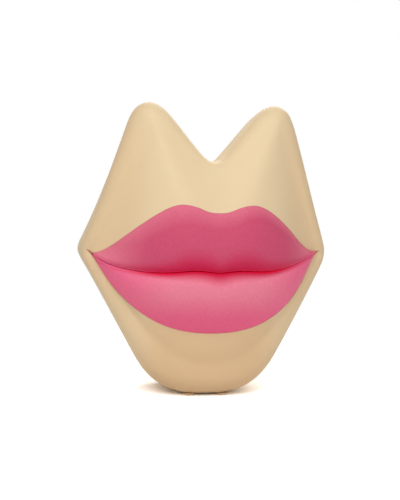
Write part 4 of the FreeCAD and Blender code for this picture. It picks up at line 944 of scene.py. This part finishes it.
class TELEPHONE_OT_stage(bpy.types.Operator):
    """Sets the floor, the lamps, the world and the camera"""
    bl_idname = "telephone.stage"
    bl_label = "Stage"

    aim = Vector((0, 0, 105 * MM))
    floor_size = 8
    # Colour of the card for other light and where it is seen, and the distances from the telephone between
    # which it fades to plain white
    card_light = (0.8, 0.8, 0.8, 1)
    card_seen = (1.8, 1.8, 1.8, 1)
    card_fade = {"From Min": 0.1, "From Max": 0.4}
    # Lamps: name, place and size in metres, and the property that holds its power
    lamps = (("key_lamp", (-0.31, -0.8, 0.85), 0.9, "key_power"),
             ("fill_lamp", (0.8, -0.7, 0.35), 0.7, "fill_power"),
             ("back_lamp", (0.35, 0.9, 0.8), 0.9, "back_power"))
    # Height of the frame and how far it is moved right and up, in pixels
    frame_height = 500
    frame_shift = (-9.05, -1.75)
    sensor = 36

    def lamp(self, name, place, size, power):
        """Square lamp that faces the telephone."""
        data = bpy.data.lights.new(name, "AREA")
        data.energy = power
        data.size = size
        lamp = bpy.data.objects.new(name, data)
        bpy.context.scene.collection.objects.link(lamp)
        lamp.location = place
        lamp.rotation_euler = (self.aim - place).to_track_quat("-Z", "Y").to_euler()

    def shown(self, tree):
        """One where a surface is seen, also in a mirror or through glass, and nought for other light."""
        ray = add(tree, "LightPath")
        straight = add(tree, "Math", {0: ray.outputs["Is Camera Ray"], 1: ray.outputs["Is Glossy Ray"]},
                       operation="MAXIMUM")
        return add(tree, "Math", {0: straight, 1: ray.outputs["Is Transmission Ray"]}, operation="MAXIMUM")

    def card(self):
        # Matte white card: the camera sees it white, and it keeps the telephone's shadow
        material = bpy.data.materials.new("matte_white_card")
        material.use_nodes = True
        tree = material.node_tree
        tree.nodes.clear()
        shown = self.shown(tree)
        seen = add(tree, "Mix", {"Factor": shown, 6: self.card_light, 7: self.card_seen}, **COLOUR)
        matte = add(tree, "BsdfDiffuse", {"Color": seen.outputs[2]})
        place = add(tree, "TexCoord")
        off = add(tree, "VectorMath", {0: place.outputs["Object"]}, operation="LENGTH")
        far = add(tree, "MapRange", {"Value": off.outputs["Value"], **self.card_fade}, **SMOOTH)
        fade = add(tree, "Math", {0: far, 1: shown}, operation="MULTIPLY")
        white = add(tree, "Emission")
        mixed = add(tree, "MixShader", {0: fade, 1: matte, 2: white})
        add(tree, "OutputMaterial", {"Surface": mixed})
        return material

    def world(self, sky):
        """White all round where it is seen, and an even light of its own strength elsewhere."""
        world = bpy.data.worlds.new("white_studio")
        world.use_nodes = True
        tree = world.node_tree
        background = tree.nodes["Background"]
        level = add(tree, "MapRange", {"Value": self.shown(tree), "To Min": sky, "To Max": 1.0})
        background.inputs["Color"].default_value = (1, 1, 1, 1)
        tree.links.new(level.outputs["Result"], background.inputs["Strength"])
        return world

    def camera(self, stage):
        """Camera at the photo's place, aimed at the telephone and rolled as the photo is."""
        turn, lift = stage.azimuth, stage.elevation
        away = Vector((math.sin(turn) * math.cos(lift), -math.cos(turn) * math.cos(lift), math.sin(lift)))
        data = bpy.data.cameras.new("photo_camera")
        data.lens = stage.lens
        data.sensor_width = self.sensor
        data.shift_x = self.frame_shift[0] / self.frame_height
        data.shift_y = self.frame_shift[1] / self.frame_height
        data.clip_start = 0.01
        camera = bpy.data.objects.new("photo_camera", data)
        camera.location = self.aim + away * stage.distance
        rolled = Quaternion((0, 0, 1), stage.roll)
        camera.rotation_euler = ((-away).to_track_quat("-Z", "Y") @ rolled).to_euler()
        return camera

    def execute(self, context):
        scene = context.scene
        stage = scene.telephone_stage
        scene.view_settings.view_transform = "Standard"
        bpy.ops.mesh.primitive_plane_add(size=self.floor_size)
        floor = context.object
        floor.name = "studio_floor"
        floor.data.materials.append(self.card())
        scene.world = self.world(stage.sky)
        for name, place, size, power in self.lamps:
            self.lamp(name, Vector(place), size, getattr(stage, power))
        scene.camera = self.camera(stage)
        scene.collection.objects.link(scene.camera)
        return {"FINISHED"}


class TELEPHONE_PT_panel(bpy.types.Panel):
    """Lists the steps that finish the telephone"""
    bl_idname = "TELEPHONE_PT_panel"
    bl_label = "Mouth telephone"
    bl_space_type = "VIEW_3D"
    bl_region_type = "UI"
    bl_category = "Telephone"

    def draw(self, context):
        for step in STEPS:
            self.layout.operator(step.bl_idname)


STEPS = (TELEPHONE_OT_skin, TELEPHONE_OT_lips, TELEPHONE_OT_mouldings, TELEPHONE_OT_metals,
         TELEPHONE_OT_boards, TELEPHONE_OT_key_legends, TELEPHONE_OT_switch_marks, TELEPHONE_OT_knob_ribs,
         TELEPHONE_OT_screws, TELEPHONE_OT_feet, TELEPHONE_OT_mat, TELEPHONE_OT_spring, TELEPHONE_OT_stage)
GROUPS = {"telephone_colours": TelephoneColours, "telephone_sizes": TelephoneSizes,
          "telephone_stage": TelephoneStage}


def register():
    for group in GROUPS.values():
        bpy.utils.register_class(group)
    for step in STEPS + (TELEPHONE_PT_panel,):
        bpy.utils.register_class(step)
    for name, group in GROUPS.items():
        setattr(bpy.types.Scene, name, bpy.props.PointerProperty(type=group))


def unregister():
    for name in GROUPS:
        delattr(bpy.types.Scene, name)
    for step in (TELEPHONE_PT_panel,) + STEPS[::-1]:
        bpy.utils.unregister_class(step)
    for group in GROUPS.values():
        bpy.utils.unregister_class(group)


def main():
    register()
    for step in STEPS:
        area, name = step.bl_idname.split(".")
        getattr(getattr(bpy.ops, area), name)()


if __name__ == "__main__":
    main()
